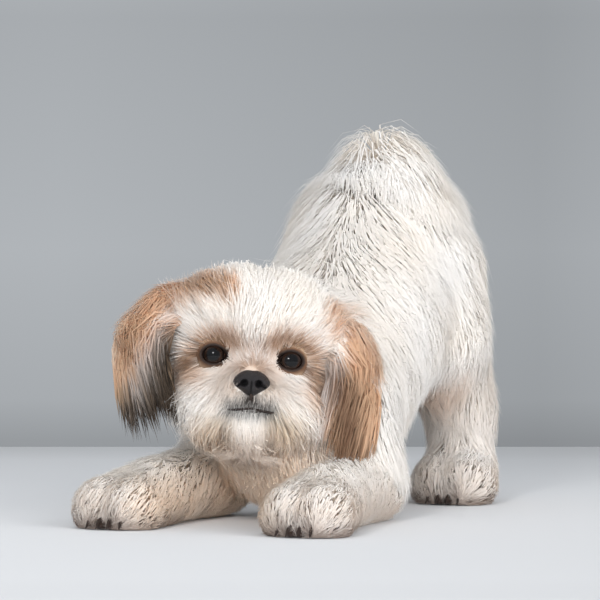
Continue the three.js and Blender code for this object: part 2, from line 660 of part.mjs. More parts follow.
function neckPart() {
  const draw = drawsFrom(42);
  const roots = [...rootsRound(NECK, 4, 8, draw), ...rootsRound(TORSO, 9, 9, draw)];
  const kept = roots.filter((p) => !behindCollar(p));
  return { core: neckCore, locks: locksFrom(kept, draw, BODY, neckLie, NECK_LOCKS) };
}

function pawPart(place, seed) {
  const draw = drawsFrom(seed);
  const field = fieldOf(pawRows(place), CORE_SHARE);
  const middle = [station(place.wrist, 12, 11), station(place.toes, 12, 10)];
  const core = (grow) => wrapped(middle, field, PAW_GRID, grow);
  const roots = rootsRound(middle, 4, 7, draw, field);
  return { core, extra: claws(place), locks: locksFrom(roots, draw, BODY, pawLie, PAW_LOCKS) };
}

function legPart(chains, lies, seed) {
  const draw = drawsFrom(seed);
  const growOn = (chain, i) => locksFrom(rootsRound(chain, 4, 6, draw), draw, BODY, lies[i], LEG_LOCKS);
  return { core: coresOf(chains, LIMB_GRID), locks: chains.flatMap(growOn) };
}

const parts = {
  ear_left: { ...earPart(LEFT_EAR, 21), finish: earCoat },
  ear_right: { ...earPart(RIGHT_EAR, 22), finish: earCoat },
  head: headPart(),
  tail: tailPart(),
  forepaw_left: pawPart(LEFT_FOREPAW, 51),
  forepaw_right: pawPart(RIGHT_FOREPAW, 52),
  foreleg_left: legPart([LEFT_UPPER_ARM, LEFT_FOREARM], [legLie, forearmLie], 61),
  foreleg_right: legPart([RIGHT_UPPER_ARM, RIGHT_FOREARM], [legLie, forearmLie], 62),
  torso: torsoPart(),
  neck: neckPart(),
  hindpaw_left: pawPart(LEFT_HINDPAW, 53),
  hindpaw_right: pawPart(RIGHT_HINDPAW, 54),
  hindleg_left: legPart([THIGH, SHIN, HOCK], [legLie, legLie, legLie], 63),
  hindleg_right: legPart([THIGH, SHIN, HOCK].map(mirrored), [legLie, legLie, legLie], 64),
};

const dog = new THREE.Group();

function addMesh(name, solid, finish) {
  const mesh = new THREE.Mesh(geometryFrom(largest(grained(largest(solid)))), finish);
  mesh.name = name;
  dog.add(mesh);
}

const underFloor = solidFrom(new THREE.BoxGeometry(900, 900, 200).translate(0, 150, -100));
const hollows = joined([eyeHollow(-1), eyeHollow(1), noseLeather(GAP)]);
const whole = [];
for (const [name, part] of Object.entries(parts)) {
  const hidden = (at) => whole.some((w) => w.places.some((p) => p.distanceTo(at) < LOCK_CLEARANCE));
  const seen = ({ path }) => path[1].at.z > LOWEST_BEND && !hidden(path[1].at);
  const locks = part.locks.filter((l) => seen(l) && isOpen(l));
  let solid = joined([part.core(0), ...(part.extra ?? []), ...locks.map((l) => lock(l))]);
  solid = solid.subtract(underFloor);
  if (name === "head") solid = solid.subtract(tube(mouthCurve(0), LIP.line, 6, 3));
  solid = solid.subtract(hollows);
  for (const earlier of whole) solid = solid.subtract(earlier.grown);
  addMesh(name, solid, part.finish ?? coat);
  const grown = joined([part.core(GAP), ...locks.map((l) => lock(l, GAP))]);
  whole.push({ grown, places: locks.flatMap(({ path }) => path.slice(1).map((k) => k.at)) });
}
addMesh("eye_left", ball(EYE_RADIUS, eyeCentre(1)), eyeFinish);
addMesh("eye_right", ball(EYE_RADIUS, eyeCentre(-1)), eyeFinish);
addMesh("nose", nose(), noseFinish);

// The origin is on the floor, at the middle of the whole dog's bounds
const bounds = new THREE.Box3().setFromObject(dog);
const middle = bounds.getCenter(v(0, 0, 0));
dog.position.set(-middle.x, -middle.y, -bounds.min.z);

export default dog;
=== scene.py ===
# A shih tzu in a play bow, dressed: a skin over the flesh, a coat of fine tufts that follow the hair's
# lie, and eyes, eyelids, nose leather, lips, pads and claws.
# The plan is in millimetres with +Z up; the dog faces -Y and its left side is +X. Blender's metres come
# from it through in_frame().

import math

import bpy
import numpy as np
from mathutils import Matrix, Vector


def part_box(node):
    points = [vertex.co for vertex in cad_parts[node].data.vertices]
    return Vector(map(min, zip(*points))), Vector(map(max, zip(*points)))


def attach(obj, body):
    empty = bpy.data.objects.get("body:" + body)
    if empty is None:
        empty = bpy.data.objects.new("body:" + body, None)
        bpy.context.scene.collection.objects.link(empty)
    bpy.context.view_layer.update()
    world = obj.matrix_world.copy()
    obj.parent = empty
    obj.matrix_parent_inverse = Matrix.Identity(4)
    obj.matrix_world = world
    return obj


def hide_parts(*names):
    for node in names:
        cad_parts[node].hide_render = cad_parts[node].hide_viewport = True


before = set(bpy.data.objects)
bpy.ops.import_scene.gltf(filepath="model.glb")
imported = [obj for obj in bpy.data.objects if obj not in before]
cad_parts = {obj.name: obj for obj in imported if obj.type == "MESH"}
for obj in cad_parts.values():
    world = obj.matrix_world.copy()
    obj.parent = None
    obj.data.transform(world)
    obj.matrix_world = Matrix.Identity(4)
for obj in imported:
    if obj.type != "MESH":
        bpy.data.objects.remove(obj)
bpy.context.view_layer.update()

# The plan: stations of the flesh, each (x, y, z, flesh radius, coat depth)
HEAD_CENTRE = np.array([-9.5, 0.0, 106.5])
HEAD_TURN = {"yaw": 26, "pitch": 6, "roll": 4.5}
BLEND = 4.0
EYE_RADIUS = 10.5
EYE_SPREAD = 25
EYE_OPENING = (7.6, 5.9)
SOCKET = {"at": (23, 44, 1), "radius": 18.5, "closing": 4, "soft": 2.5}
FACE_COAT = {"least": 0.15, "near": 4, "far": 40}
FLOOR_CLEARANCE = 0.6
LOWEST = 0.2


def unit(vectors):
    vectors = np.asarray(vectors, float)
    return vectors / np.maximum(np.linalg.norm(vectors, axis=-1, keepdims=True), 1e-9)


def smooth(x, low, high):
    t = np.clip((x - low) / (high - low), 0, 1)
    return t * t * (3 - 2 * t)


def blend(a, b, t):
    return a + (b - a) * t


def head_axes():
    yaw, pitch, roll = (math.radians(HEAD_TURN[k]) for k in ("yaw", "pitch", "roll"))
    side = np.array([math.cos(yaw), math.sin(yaw), 0])
    flat = np.array([math.sin(yaw), -math.cos(yaw), 0])
    forward = flat * math.cos(pitch) + np.array([0, 0, math.sin(pitch)])
    up = -np.cross(side, forward)
    left = side * math.cos(roll) - up * math.sin(roll)
    crown = up * math.cos(roll) + side * math.sin(roll)
    return np.array([left, forward, crown])


HEAD_AXES = head_axes()


def head_direction(x, y, z):
    return np.array([x, y, z]) @ HEAD_AXES


def head_point(x, y, z):
    return HEAD_CENTRE + head_direction(x, y, z)


def in_head(points):
    return (points - HEAD_CENTRE) @ HEAD_AXES.T


def on_head(x, y, z, flesh, coat):
    return (*head_point(x, y, z), flesh, coat)


def paired(name, sign):
    return f"{name}_left" if sign > 0 else f"{name}_right"


def mirrored(chain):
    return [(-x, y, z, flesh, coat) for x, y, z, flesh, coat in chain]


TORSO = [
    (0, 36, 57, 38, 15),
    (0, 75, 82, 44, 24),
    (0, 140, 126, 41, 28),
    (-4, 188, 178, 39, 27),
    (-4, 216, 184, 34, 26),
]
NECK = [(0, 60, 90, 34, 18), (-6, 12, 104, 30, 18)]
CRANIUM = [on_head(-8, -2, 10, 35, 20), on_head(8, -2, 10, 35, 20)]
MUZZLE = [on_head(0, 14, -14, 24, 22), on_head(0, 26, -20, 19, 24)]
JOWLS = [on_head(-16, 20, -24, 14, 26), on_head(16, 20, -24, 14, 26)]
CHIN = [on_head(0, 18, -36, 12, 20), on_head(0, 29, -41, 9, 20)]
TAIL = [
    (-6, 230, 206, 9, 21),
    (-10, 234, 224, 8, 25),
    (-12, 218, 234, 7, 28),
    (-4, 200, 234, 6, 30),
    (14, 188, 218, 5, 30),
]
LEFT_UPPER_ARM = [(34, 50, 78, 22, 14), (46, 56, 26, 16, 14)]
LEFT_FOREARM = [(46, 56, 24, 16, 14), (56, -26, 18, 12, 13)]
RIGHT_UPPER_ARM = [(-36, 46, 80, 22, 14), (-58, 44, 30, 16, 14)]
RIGHT_FOREARM = [(-58, 44, 28, 16, 14), (-68, -28, 19, 12, 13)]
THIGH = [(26, 198, 160, 32, 18), (40, 188, 118, 23, 18)]
SHIN = [(40, 188, 118, 23, 18), (43, 232, 66, 12, 15)]
HOCK = [(43, 232, 66, 12, 15), (43, 230, 26, 11, 12)]
PAWS = {
    "forepaw_left": ((56, -28, 18), (62, -68, 12)),
    "forepaw_right": ((-67, -30, 19), (-72, -68, 12)),
    "hindpaw_left": ((45, 228, 24), (48, 206, 13)),
    "hindpaw_right": ((-45, 228, 24), (-48, 206, 13)),
}
TOE_SPREAD = 11
EARS = {
    1: [(38, -8, 28), (63, 0, 14), (76, 4, -14), (63, 8, -56)],
    -1: [(-35, -8, 30), (-66, 0, 24), (-81, 4, 0), (-56, 10, -58)],
}
RIGHT_EAR_BASE = [on_head(-32, -10, 34, 6, 15), on_head(-58, -6, 28, 5, 14), on_head(-79, 0, 12, 4, 13)]
LEFT_EAR_BASE = [on_head(36, -12, 26, 6, 11), on_head(60, -6, 18, 5, 11), on_head(72, -2, 4, 4, 11)]
PLUME_TOP = np.array([-14, 222, 268])
PARTING = 56


def paw_rows(wrist, toes):
    rows = []
    for sign in (-1, 1):
        start = (wrist[0] + sign * TOE_SPREAD * 0.4, wrist[1], wrist[2], 11, 11)
        end = (toes[0] + sign * TOE_SPREAD, toes[1], toes[2], 11, 12)
        rows.append([start, end])
    return rows


REGIONS = {
    "torso": [TORSO],
    "neck": [NECK],
    "head": [CRANIUM, MUZZLE, JOWLS, CHIN],
    "ear_bases": [RIGHT_EAR_BASE, LEFT_EAR_BASE],
    "tail": [TAIL],
    "arms": [LEFT_UPPER_ARM, RIGHT_UPPER_ARM],
    "forearms": [LEFT_FOREARM, RIGHT_FOREARM],
    "hindlegs": [c for leg in (THIGH, SHIN, HOCK) for c in (leg, mirrored(leg))],
    "paws": [row for wrist, toes in PAWS.values() for row in paw_rows(wrist, toes)],
}
REGION_NAMES = list(REGIONS)


def plan_offset():
    """From the plan's origin to the frame's, from where the left eye is in both."""
    low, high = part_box("eye_left")
    return np.array((low + high) / 2) - head_point(24, 18, 0) / 1000


OFFSET = plan_offset()


def in_frame(points):
    return np.asarray(points, float) / 1000 + OFFSET


# How far points of the head are from the bare lines between the eyes, the nose and the mouth
def from_line(points, start, end):
    start = np.asarray(start, float)
    axis = np.asarray(end, float) - start
    along = np.clip((points - start) @ axis / (axis @ axis), 0, 1)
    return np.linalg.norm(points - start - along[:, None] * axis, axis=1)


def from_face(points):
    folded = in_head(points)
    folded[:, 0] = np.abs(folded[:, 0])
    nose = (0, 44, -16)
    to_eye = from_line(folded, (EYE_SPREAD, 27, 0), nose)
    to_mouth = from_line(folded, nose, (0, 38, -36))
    return np.minimum(to_eye, to_mouth)


def coat_share(points):
    """The coat's depth as a share: short round the eyes, the nose and the mouth."""
    share = blend(FACE_COAT["least"], 1, smooth(from_face(points), FACE_COAT["near"], FACE_COAT["far"]))
    return np.where(np.linalg.norm(points - HEAD_CENTRE, axis=1) > 90, 1, share)


def socketed(points, share, distance, slope, sign):
    """The same surface with the shallow hollow that an eye sits in."""
    side, front, height = SOCKET["at"]
    away = points - head_point(sign * side, front, height)
    reach = np.linalg.norm(away, axis=1) + 1e-9
    hollow = SOCKET["radius"] - SOCKET["closing"] * share - reach
    gap = (hollow - distance) / SOCKET["soft"]
    weight = (1 / (1 + np.exp(-np.clip(gap, -30, 30))))[:, None]
    deeper = np.maximum(distance, hollow) + SOCKET["soft"] * np.log1p(np.exp(-np.abs(np.clip(gap, -30, 30))))
    return deeper, unit((1 - weight) * slope - weight * away / reach[:, None])


class Form:
    """Chains of stations as one soft form of flesh under a coat."""

    def __init__(self, regions):
        rows = [
            (a, b, REGION_NAMES.index(name))
            for name in regions
            for chain in REGIONS[name]
            for a, b in zip(chain, chain[1:])
        ]
        self.start = np.array([a for a, _, _ in rows], float)
        self.change = np.array([b for _, b, _ in rows], float) - self.start
        self.region = np.array([r for _, _, r in rows])

    def depths(self, points, share):
        axis = self.change[:, :3]
        away = points[:, None] - self.start[None, :, :3]
        along = np.clip((away * axis).sum(2) / np.maximum((axis**2).sum(1), 1e-9), 0, 1)
        away -= along[..., None] * axis
        reach = np.linalg.norm(away, axis=2) + 1e-9
        flesh = self.start[:, 3] + along * self.change[:, 3]
        coat = self.start[:, 4] + along * self.change[:, 4]
        return reach - flesh - share[:, None] * coat, away / reach[..., None]

    def measure(self, points, share):
        """Distance outside the surface at a share of the coat's depth, the slope and the nearest region."""
        distance = np.empty(len(points))
        slope = np.empty((len(points), 3))
        region = np.empty(len(points), int)
        whole = np.broadcast_to(share, len(points))
        share = whole * coat_share(points)
        for low in range(0, len(points), 8192):
            part = slice(low, low + 8192)
            depth, away = self.depths(points[part], share[part])
            least = depth.min(1)
            weight = np.exp((least[:, None] - depth) / BLEND)
            total = weight.sum(1)
            distance[part] = least - BLEND * np.log(total)
            slope[part] = unit((weight[..., None] * away).sum(1))
            region[part] = self.region[depth.argmin(1)]
        for sign in (-1, 1):
            distance, slope = socketed(points, whole, distance, slope, sign)
        return distance, slope, region


WHOLE = Form(REGION_NAMES)
BODY = Form([n for n in REGION_NAMES if n != "tail"])


def ripple(points, wavelength, seed):
    """Soft noise from -1 to 1 that changes over a distance of about the wavelength."""
    rng = np.random.default_rng(seed)
    total = np.zeros(len(points))
    for _ in range(5):
        wave = unit(rng.normal(size=3)) * 2 * np.pi / (wavelength * rng.uniform(0.7, 1.5))
        total += np.sin(points @ wave + rng.uniform(0, 2 * np.pi))
    return total / 3


# Meshes
def mesh_object(name, vertices, triangles, material, colours=None, uvs=None, smooth_faces=True):
    mesh = bpy.data.meshes.new(name)
    vertices = in_frame(vertices).astype(np.float32)
    triangles = np.asarray(triangles, np.int32)
    mesh.vertices.add(len(vertices))
    mesh.vertices.foreach_set("co", vertices.ravel())
    mesh.loops.add(triangles.size)
    mesh.loops.foreach_set("vertex_index", triangles.ravel())
    mesh.polygons.add(len(triangles))
    mesh.polygons.foreach_set("loop_start", np.arange(0, triangles.size, 3, dtype=np.int32))
    mesh.polygons.foreach_set("loop_total", np.full(len(triangles), 3, np.int32))
    mesh.update(calc_edges=True)
    mesh.polygons.foreach_set("use_smooth", np.full(len(triangles), smooth_faces))
    if colours is not None:
        tint = mesh.color_attributes.new("Tint", "FLOAT_COLOR", "POINT")
        rgba = np.ones((len(vertices), 4), np.float32)
        rgba[:, :3] = colours
        tint.data.foreach_set("color", rgba.ravel())
    if uvs is not None:
        layer = mesh.uv_layers.new(name="OFBake")
        layer.data.foreach_set("uv", uvs[triangles.ravel()].astype(np.float32).ravel())
    mesh.materials.append(material)
    made = bpy.data.objects.new(name, mesh)
    bpy.context.scene.collection.objects.link(made)
    return made


def grid_triangles(rows, columns, closed=True):
    """Triangles between rows of points, each row round once when closed."""
    triangles = []
    for i in range(rows - 1):
        for j in range(columns if closed else columns - 1):
            a = i * columns + j
            b = i * columns + (j + 1) % columns
            triangles += [(a, b, b + columns), (a, b + columns, a + columns)]
    return triangles


def capped(triangles, rows, columns, first, last):
    """The same with a fan to a first and a last point."""
    end = (rows - 1) * columns
    for j in range(columns):
        k = (j + 1) % columns
        triangles.append((first, k, j))
        triangles.append((last, end + j, end + k))
    return triangles


def catmull(points, t):
    """A smooth curve through points, at shares t of its length, and its direction there."""
    points = np.asarray(points, float)
    padded = np.vstack([2 * points[0] - points[1], points, 2 * points[-1] - points[-2]])
    place = np.clip(t, 0, 1) * (len(points) - 1)
    i = np.minimum(place.astype(int), len(points) - 2)
    s = (place - i)[:, None]
    p0, p1, p2, p3 = (padded[i + k] for k in range(4))
    second, third = 2 * p0 - 5 * p1 + 4 * p2 - p3, 3 * p1 - p0 - 3 * p2 + p3
    value = 0.5 * (2 * p1 + (p2 - p0) * s + second * s**2 + third * s**3)
    slope = 0.5 * ((p2 - p0) + 2 * second * s + 3 * third * s**2)
    return value, unit(slope)


def tube(path, thick, columns, above, narrow=1.0):
    """A closed round tube along a smooth path through points, with its thickness at even steps."""
    rows = len(thick)
    at, tangent = catmull(path, np.linspace(0, 1, rows))
    side = unit(np.cross(tangent, above))
    over = np.cross(side, tangent)
    turn = np.linspace(0, 2 * np.pi, columns, endpoint=False)
    ring = narrow * np.cos(turn)[None, :, None] * side[:, None] + np.sin(turn)[None, :, None] * over[:, None]
    points = at[:, None] + ring * thick[:, None, None]
    points = np.concatenate([points.reshape(-1, 3), at[:1], at[-1:]])
    ends = (rows * columns, rows * columns + 1)
    return points, capped(grid_triangles(rows, columns), rows, columns, *ends)


def globe(rows, columns):
    """The points of a ball of radius 1, with its poles last, and its triangles."""
    points = []
    for a in np.linspace(0, np.pi, rows + 2)[1:-1]:
        for turn in np.linspace(0, 2 * np.pi, columns, endpoint=False):
            points.append((math.sin(a) * math.cos(turn), math.sin(a) * math.sin(turn), math.cos(a)))
    triangles = capped(grid_triangles(rows, columns), rows, columns, rows * columns, rows * columns + 1)
    return np.array(points + [(0, 0, 1), (0, 0, -1)]), triangles


# Markings, and painted shade
def srgb(*rgb):
    c = np.array(rgb) / 255
    return np.where(c <= 0.04045, c / 12.92, ((c + 0.055) / 1.055) ** 2.4)


WHITE = srgb(252, 251, 250)
CREAM = srgb(247, 240, 230)
TAN = srgb(234, 202, 170)
BROW = srgb(194, 158, 126)
DARK_TAN = srgb(140, 104, 80)
LILAC = srgb(240, 230, 224)
CHARCOAL = srgb(54, 48, 44)
BROWN_BLACK = srgb(46, 34, 28)
STAIN = srgb(226, 202, 162)
SHADED = srgb(246, 232, 214)
BEIGE = srgb(232, 218, 204)


def patch(points, centre, size, soft=0.5):
    """How much of a soft oval patch covers points: 1 in its middle, 0 outside."""
    away = (points - np.array(centre)) / np.array(size)
    return 1 - smooth(np.linalg.norm(away, axis=1), 1 - soft, 1 + soft)


def stroke(points, path, half_width, soft=0.5):
    """How much of a soft stroke along a path covers points."""
    nearest = np.full(len(points), 1e9)
    for a, b in zip(path, path[1:]):
        nearest = np.minimum(nearest, from_line(points, a, b))
    return 1 - smooth(nearest / half_width, 1 - soft, 1 + soft)


def laid(colours, colour, amount):
    return blend(colours, colour, np.clip(amount, 0, 1)[:, None])


def among(regions, *names):
    """Which points belong to the named regions."""
    return np.isin(regions, [REGION_NAMES.index(name) for name in names])


def stroked(colours, flat, share, strokes):
    """Soft strokes laid one over another: each a colour, how much, half width, softness and path."""
    for colour, amount, half_width, soft, path in strokes:
        colours = laid(colours, colour, amount * stroke(flat, path, half_width, soft) * share)
    return colours


def spotted(colours, flat, share, spots):
    """Soft patches laid one over another: each a colour, how much, middle, size and softness."""
    for colour, amount, centre, size, soft in spots:
        colours = laid(colours, colour, amount * patch(flat, centre, size, soft) * share)
    return colours


BROW_ARCS = (
    [(13, 9), (22, 13), (33, 11), (41, 3), (43, -6)],
    [(-12, 8), (-22, 11), (-34, 7), (-42, -3), (-46, -12)],
)
EYE_CORNERS = (
    (BROW, 0.55, 2.6, 0.8, [(-10, 6), (12, 7)]),
    (DARK_TAN, 0.9, 3.5, 0.8, [(35, -3), (41, -9), (44, -16)]),
    (DARK_TAN, 0.9, 3, 0.8, [(-33, 2), (-38, -4), (-45, -10)]),
)
UNDER_EYES = (
    (TAN, 0.6, (-38, -13), (8, 7), 0.7),
    (TAN, 0.7, (45, -19), (8, 12), 0.7),
    (TAN, 0.2, (-15, -5), (6, 8), 0.8),
    (TAN, 0.2, (15, -5), (6, 8), 0.8),
)
CROWN_STREAKS = (
    (TAN, 1.0, 7, 0.8, [(-20, 46), (-34, 47), (-50, 40), (-66, 30)]),
    (BROW, 0.9, 5, 0.8, [(-24, 46), (-42, 44)]),
    (TAN, 0.8, 6, 0.8, [(52, 36), (58, 20)]),
)
BEARD_STAINS = (
    (STAIN, 0.55, (-23, -51), (11, 8), 0.8),
    (STAIN, 0.55, (25, -45), (11, 8), 0.8),
)


def brow_markings(flat, front, wobble, colours):
    """Tan over and round both eyes, darker at their corners, and a tan band between them."""
    for arc in BROW_ARCS:
        strokes = ((TAN, 0.75, 5, 0.8, arc), (BROW, 0.85, 2.8, 0.8, arc[:4]))
        colours = stroked(colours, flat, front * wobble, strokes)
    colours = stroked(colours, flat, front, EYE_CORNERS)
    return spotted(colours, flat, front, UNDER_EYES)


def face_markings_and_shade(points, colours):
    q = in_head(points)
    front = smooth(q[:, 1], -8, 10)
    flat = q[:, [0, 2]]
    wobble = 1 + 0.25 * ripple(points, 9, 5)
    colours = brow_markings(flat, front, wobble, colours)
    colours = stroked(colours, flat, wobble, CROWN_STREAKS)
    colours = spotted(colours, flat, front, BEARD_STAINS)
    # Beige towards the bottom of the beard: painted shade under the head
    low = 1 - smooth(q[:, 2], -72, -40)
    colours = laid(colours, BEIGE, 0.7 * low * front)
    # Painted shade: a brown patch on the bridge over the nose, where it faces the light
    bridge = (BROW, 0.75, (1, -6), (10, 6), 0.6)
    colours = spotted(colours, flat, smooth(q[:, 1], 22, 34), [bridge])
    beside = (BEIGE, 0.5, (0, -20), (24, 13), 0.7)
    colours = spotted(colours, flat, smooth(q[:, 1], 22, 36), [beside])
    under_nose = stroke(flat, [(1, -25), (1, -32)], 4.5, 0.8)
    under_nose = np.maximum(under_nose, stroke(flat, [(-13, -35), (1, -32), (15, -34)], 4, 0.8))
    under_nose = under_nose * smooth(q[:, 1], 20, 32) * (1 - smooth(-q[:, 2], 34.5, 37))
    return laid(colours, CHARCOAL, 0.95 * under_nose * wobble)


RIGHT_EAR_RIM = ((CREAM, 0.8, 7, 0.9, [(-76, 40), (-95, 22), (-97, -12)]),)
RIGHT_EAR_LOCKS = (
    ((7, 0.7), [(-40, 32), (-54, 24), (-64, 4), (-70, -14), (-74, -28)]),
    ((9, 0.5), [(-57, 2), (-59, -16)]),
    ((17, 0.4), [(-61, -28), (-64, -58)]),
)
LEFT_EAR_FRONT = ([-30, -8, 5, 15, 38], [50, 51, 58, 60, 54])


def right_ear_markings(flat, wobble, colours):
    """A cream rim, a pale lock down the front, and charcoal hair under it and at the tip."""
    colours = stroked(colours, flat, 1, RIGHT_EAR_RIM)
    colours = spotted(colours, flat, wobble, [(BROW, 0.45, (-80, 4), (9, 20), 0.8)])
    colours = stroked(colours, flat, wobble, [(BROW, 0.5, 5, 0.8, [(-24, 46), (-46, 44)])])
    pale, upper, lower = (stroke(flat, path, *size) for size, path in RIGHT_EAR_LOCKS)
    dark = np.maximum(np.maximum(upper, lower), smooth(-flat[:, 1], 26, 42))
    colours = laid(colours, LILAC, 0.95 * pale * wobble)
    return laid(colours, CHARCOAL, 0.95 * dark * wobble * (1 - 0.6 * pale))


def left_ear_markings(flat, wobble, colours):
    """White in front where the ear meets the cheek, a pale lock, and brown hair down to the tip."""
    colours = spotted(colours, flat, wobble, [(BROW, 0.35, (80, -10), (12, 30), 0.8)])
    colours = stroked(colours, flat, 1, [(CREAM, 0.5, 5, 0.9, [(60, 34), (84, 14), (90, -10)])])
    edge = np.interp(flat[:, 1], *LEFT_EAR_FRONT)
    colours = laid(colours, WHITE, 1 - smooth(flat[:, 0] - edge, -4, 4))
    dark = stroke(flat, [(60, -14), (64, -34), (66, -56)], 9, 0.8)
    dark = np.maximum(dark, 0.8 * smooth(-flat[:, 1], 44, 60))
    colours = stroked(colours, flat, wobble, [(LILAC, 0.7, 5, 0.8, [(53, 0), (54, -24)])])
    return laid(colours, DARK_TAN, 0.85 * dark * wobble)


def ear_markings(points, sign):
    """An ear's colours by where they show: tan above, pale inside, and dark or brown towards the tips."""
    flat = in_head(points)[:, [0, 2]]
    wobble = 1 + 0.2 * ripple(points, 10, 6)
    colours = np.tile(TAN, (len(points), 1))
    draw = right_ear_markings if sign < 0 else left_ear_markings
    return draw(flat, wobble, colours)


def toe_shade(points, regions, colours):
    """Brown under the toes near the floor and in the gaps between them: painted shade under the paws and
    between the toes.
    """
    paw = among(regions, "paws")
    # Painted shade under the toes, near the floor
    under = paw * (1 - smooth(points[:, 2], 2, 11)) * (0.7 + 0.3 * ripple(points, 7, 3))
    colours = laid(colours, DARK_TAN, 0.7 * under)
    for _, (x, y, _) in PAWS.values():
        # Painted shade in the gaps between the toes
        for gap in (-9, 0, 9):
            between = stroke(points, [(x + gap, y - 24, 0), (x + gap, y - 22, 11)], 2.8, 0.8)
            colours = laid(colours, DARK_TAN * 0.7, 0.85 * paw * between)
    return colours


def markings(points, regions):
    """The coat's colour at points of it, with painted shade on the face, the chest, low on the legs and under
    the toes.
    """
    n = len(points)
    colours = np.tile(WHITE, (n, 1))
    cream = 0.45 + 0.4 * ripple(points, 45, 1)
    colours = laid(colours, CREAM, 0.3 * np.clip(cream, 0, 1))
    head = among(regions, "head")
    colours[head] = face_markings_and_shade(points[head], colours[head])
    for sign in (-1, 1):
        base = among(regions, "ear_bases") & (in_head(points)[:, 0] * sign > 0)
        colours[base] = ear_markings(points[base], sign)
    # Beige low on the legs and paws, more of it towards the floor: painted shade
    low = among(regions, "paws", "forearms", "hindlegs")
    low_shade = low * (1 - smooth(points[:, 2], 8, 42)) * (0.7 + 0.3 * ripple(points, 20, 2))
    colours = laid(colours, BEIGE, 0.5 * low_shade)
    # Painted shade on the chest between the forelegs, under the head
    chest = (1 - smooth(np.abs(points[:, 0] + 5), 25, 60)) * (1 - smooth(points[:, 1], 30, 70))
    chest = chest * (1 - smooth(points[:, 2], 50, 85)) * ~head
    colours = laid(colours, SHADED, 0.75 * chest)
    hind = among(regions, "hindlegs")
    # Painted shade low on the hind legs
    colours = laid(colours, BEIGE, 0.15 * hind * (1 - smooth(points[:, 2], 60, 130)))
    shin = hind * patch(points[:, [1, 2]], (180, 60), (14, 24), 0.7)
    colours = laid(colours, TAN, 0.45 * shin)
    colours = toe_shade(points, regions, colours)
    return colours


# Materials
def new_material(name, roughness):
    material = bpy.data.materials.new(name)
    material.use_nodes = True
    nodes = material.node_tree.nodes
    shader = nodes["Principled BSDF"]
    shader.inputs["Roughness"].default_value = roughness
    return material, nodes, material.node_tree.links, shader


def add_node(nodes, kind, **inputs):
    """A new node with its inputs set, each named with a low line for a space."""
    node = nodes.new(f"ShaderNode{kind}")
    for name, value in inputs.items():
        node.inputs[name.replace("_", " ")].default_value = value
    return node


def multiplied(nodes, links, first, second):
    """The product of a colour, plain or from a socket, and a socket's colour."""
    mix = nodes.new("ShaderNodeMix")
    mix.data_type = "RGBA"
    mix.blend_type = "MULTIPLY"
    mix.inputs["Factor"].default_value = 1
    if isinstance(first, bpy.types.NodeSocket):
        links.new(first, mix.inputs["A"])
    else:
        mix.inputs["A"].default_value = (*first, 1)
    links.new(second, mix.inputs["B"])
    return mix.outputs["Result"]


def tinted(nodes, links, shader, scale, depth):
    """The tint of the mesh, with a fine variation of its own. Returns the colour's socket."""
    tint = nodes.new("ShaderNodeAttribute")
    tint.attribute_name = "Tint"
    noise = add_node(nodes, "TexNoise", Scale=scale, Detail=3)
    ramp = add_node(nodes, "MapRange", To_Min=1 - depth, To_Max=1 + depth * 0.4)
    links.new(noise.outputs["Fac"], ramp.inputs["Value"])
    colour = multiplied(nodes, links, tint.outputs["Color"], ramp.outputs["Result"])
    links.new(colour, shader.inputs["Base Color"])
    return colour


HAIR_LETS_THROUGH = 0.5


def hair_material():
    """Soft hair: part of the light comes back from it and part passes through, as through fine fibres."""
    material, nodes, links, shader = new_material("hair", 0.6)
    shader.inputs["Specular IOR Level"].default_value = 0.3
    colour = tinted(nodes, links, shader, 260, 0.08)
    through = nodes.new("ShaderNodeBsdfTranslucent")
    links.new(colour, through.inputs["Color"])
    both = add_node(nodes, "MixShader", Fac=HAIR_LETS_THROUGH)
    links.new(shader.outputs["BSDF"], both.inputs[1])
    links.new(through.outputs["BSDF"], both.inputs[2])
    links.new(both.outputs["Shader"], nodes["Material Output"].inputs["Surface"])
    return material


def bump(nodes, links, shader, height, strength, distance):
    node = add_node(nodes, "Bump", Strength=strength, Distance=distance)
    links.new(height, node.inputs["Height"])
    links.new(node.outputs["Normal"], shader.inputs["Normal"])


def skin_material(name, roughness):
    """Skin with fine folds and pores."""
    material, nodes, links, shader = new_material(name, roughness)
    noise = add_node(nodes, "TexNoise", Scale=1400, Detail=4)
    bump(nodes, links, shader, noise.outputs["Fac"], 0.4, 0.0004)
    tinted(nodes, links, shader, 400, 0.15)
    return material


def leather_material(name, roughness):
    """Damp black leather: small cells with fine creases between them."""
    material, nodes, links, shader = new_material(name, roughness)
    cells = add_node(nodes, "TexVoronoi", Scale=900)
    bump(nodes, links, shader, cells.outputs["Distance"], 0.6, 0.0004)
    tinted(nodes, links, shader, 600, 0.3)
    return material


def eye_material():
    material, nodes, links, shader = new_material("eye", 0.3)
    shader.inputs["Specular IOR Level"].default_value = 0.04
    shader.inputs["Coat Weight"].default_value = 0.7
    shader.inputs["Coat Roughness"].default_value = 0.02
    tinted(nodes, links, shader, 900, 0.25)
    return material


HAIR = hair_material()
SKIN = skin_material("skin", 0.7)
LID_SKIN = skin_material("eyelid", 0.55)
LEATHER = leather_material("leather", 0.36)
HORN = leather_material("horn", 0.35)
EYE = eye_material()


# Eyes: where they are and what their openings and lids are measured from
def eye_centre(sign):
    return head_point(sign * 24, 18, 0)


def gaze_axes(sign):
    forward = unit(head_direction(sign * 0.14, 1, 0.02))
    side = unit(np.cross(forward, HEAD_AXES[2]))
    return forward, side, np.cross(side, forward)


def at_eye(points, sign):
    """Points beside and above the line of sight, and how far along it."""
    forward, side, up = gaze_axes(sign)
    away = points - eye_centre(sign)
    return away @ side, away @ up, away @ forward


def opening_reach(x, y):
    """How far out of the almond opening a place is, in mm beyond its rim."""
    half_wide, half_high = EYE_OPENING
    size = np.hypot(x / half_wide, y / half_high)
    reach = np.hypot(x, y)
    return reach * (1 - 1 / np.maximum(size, 1e-6))


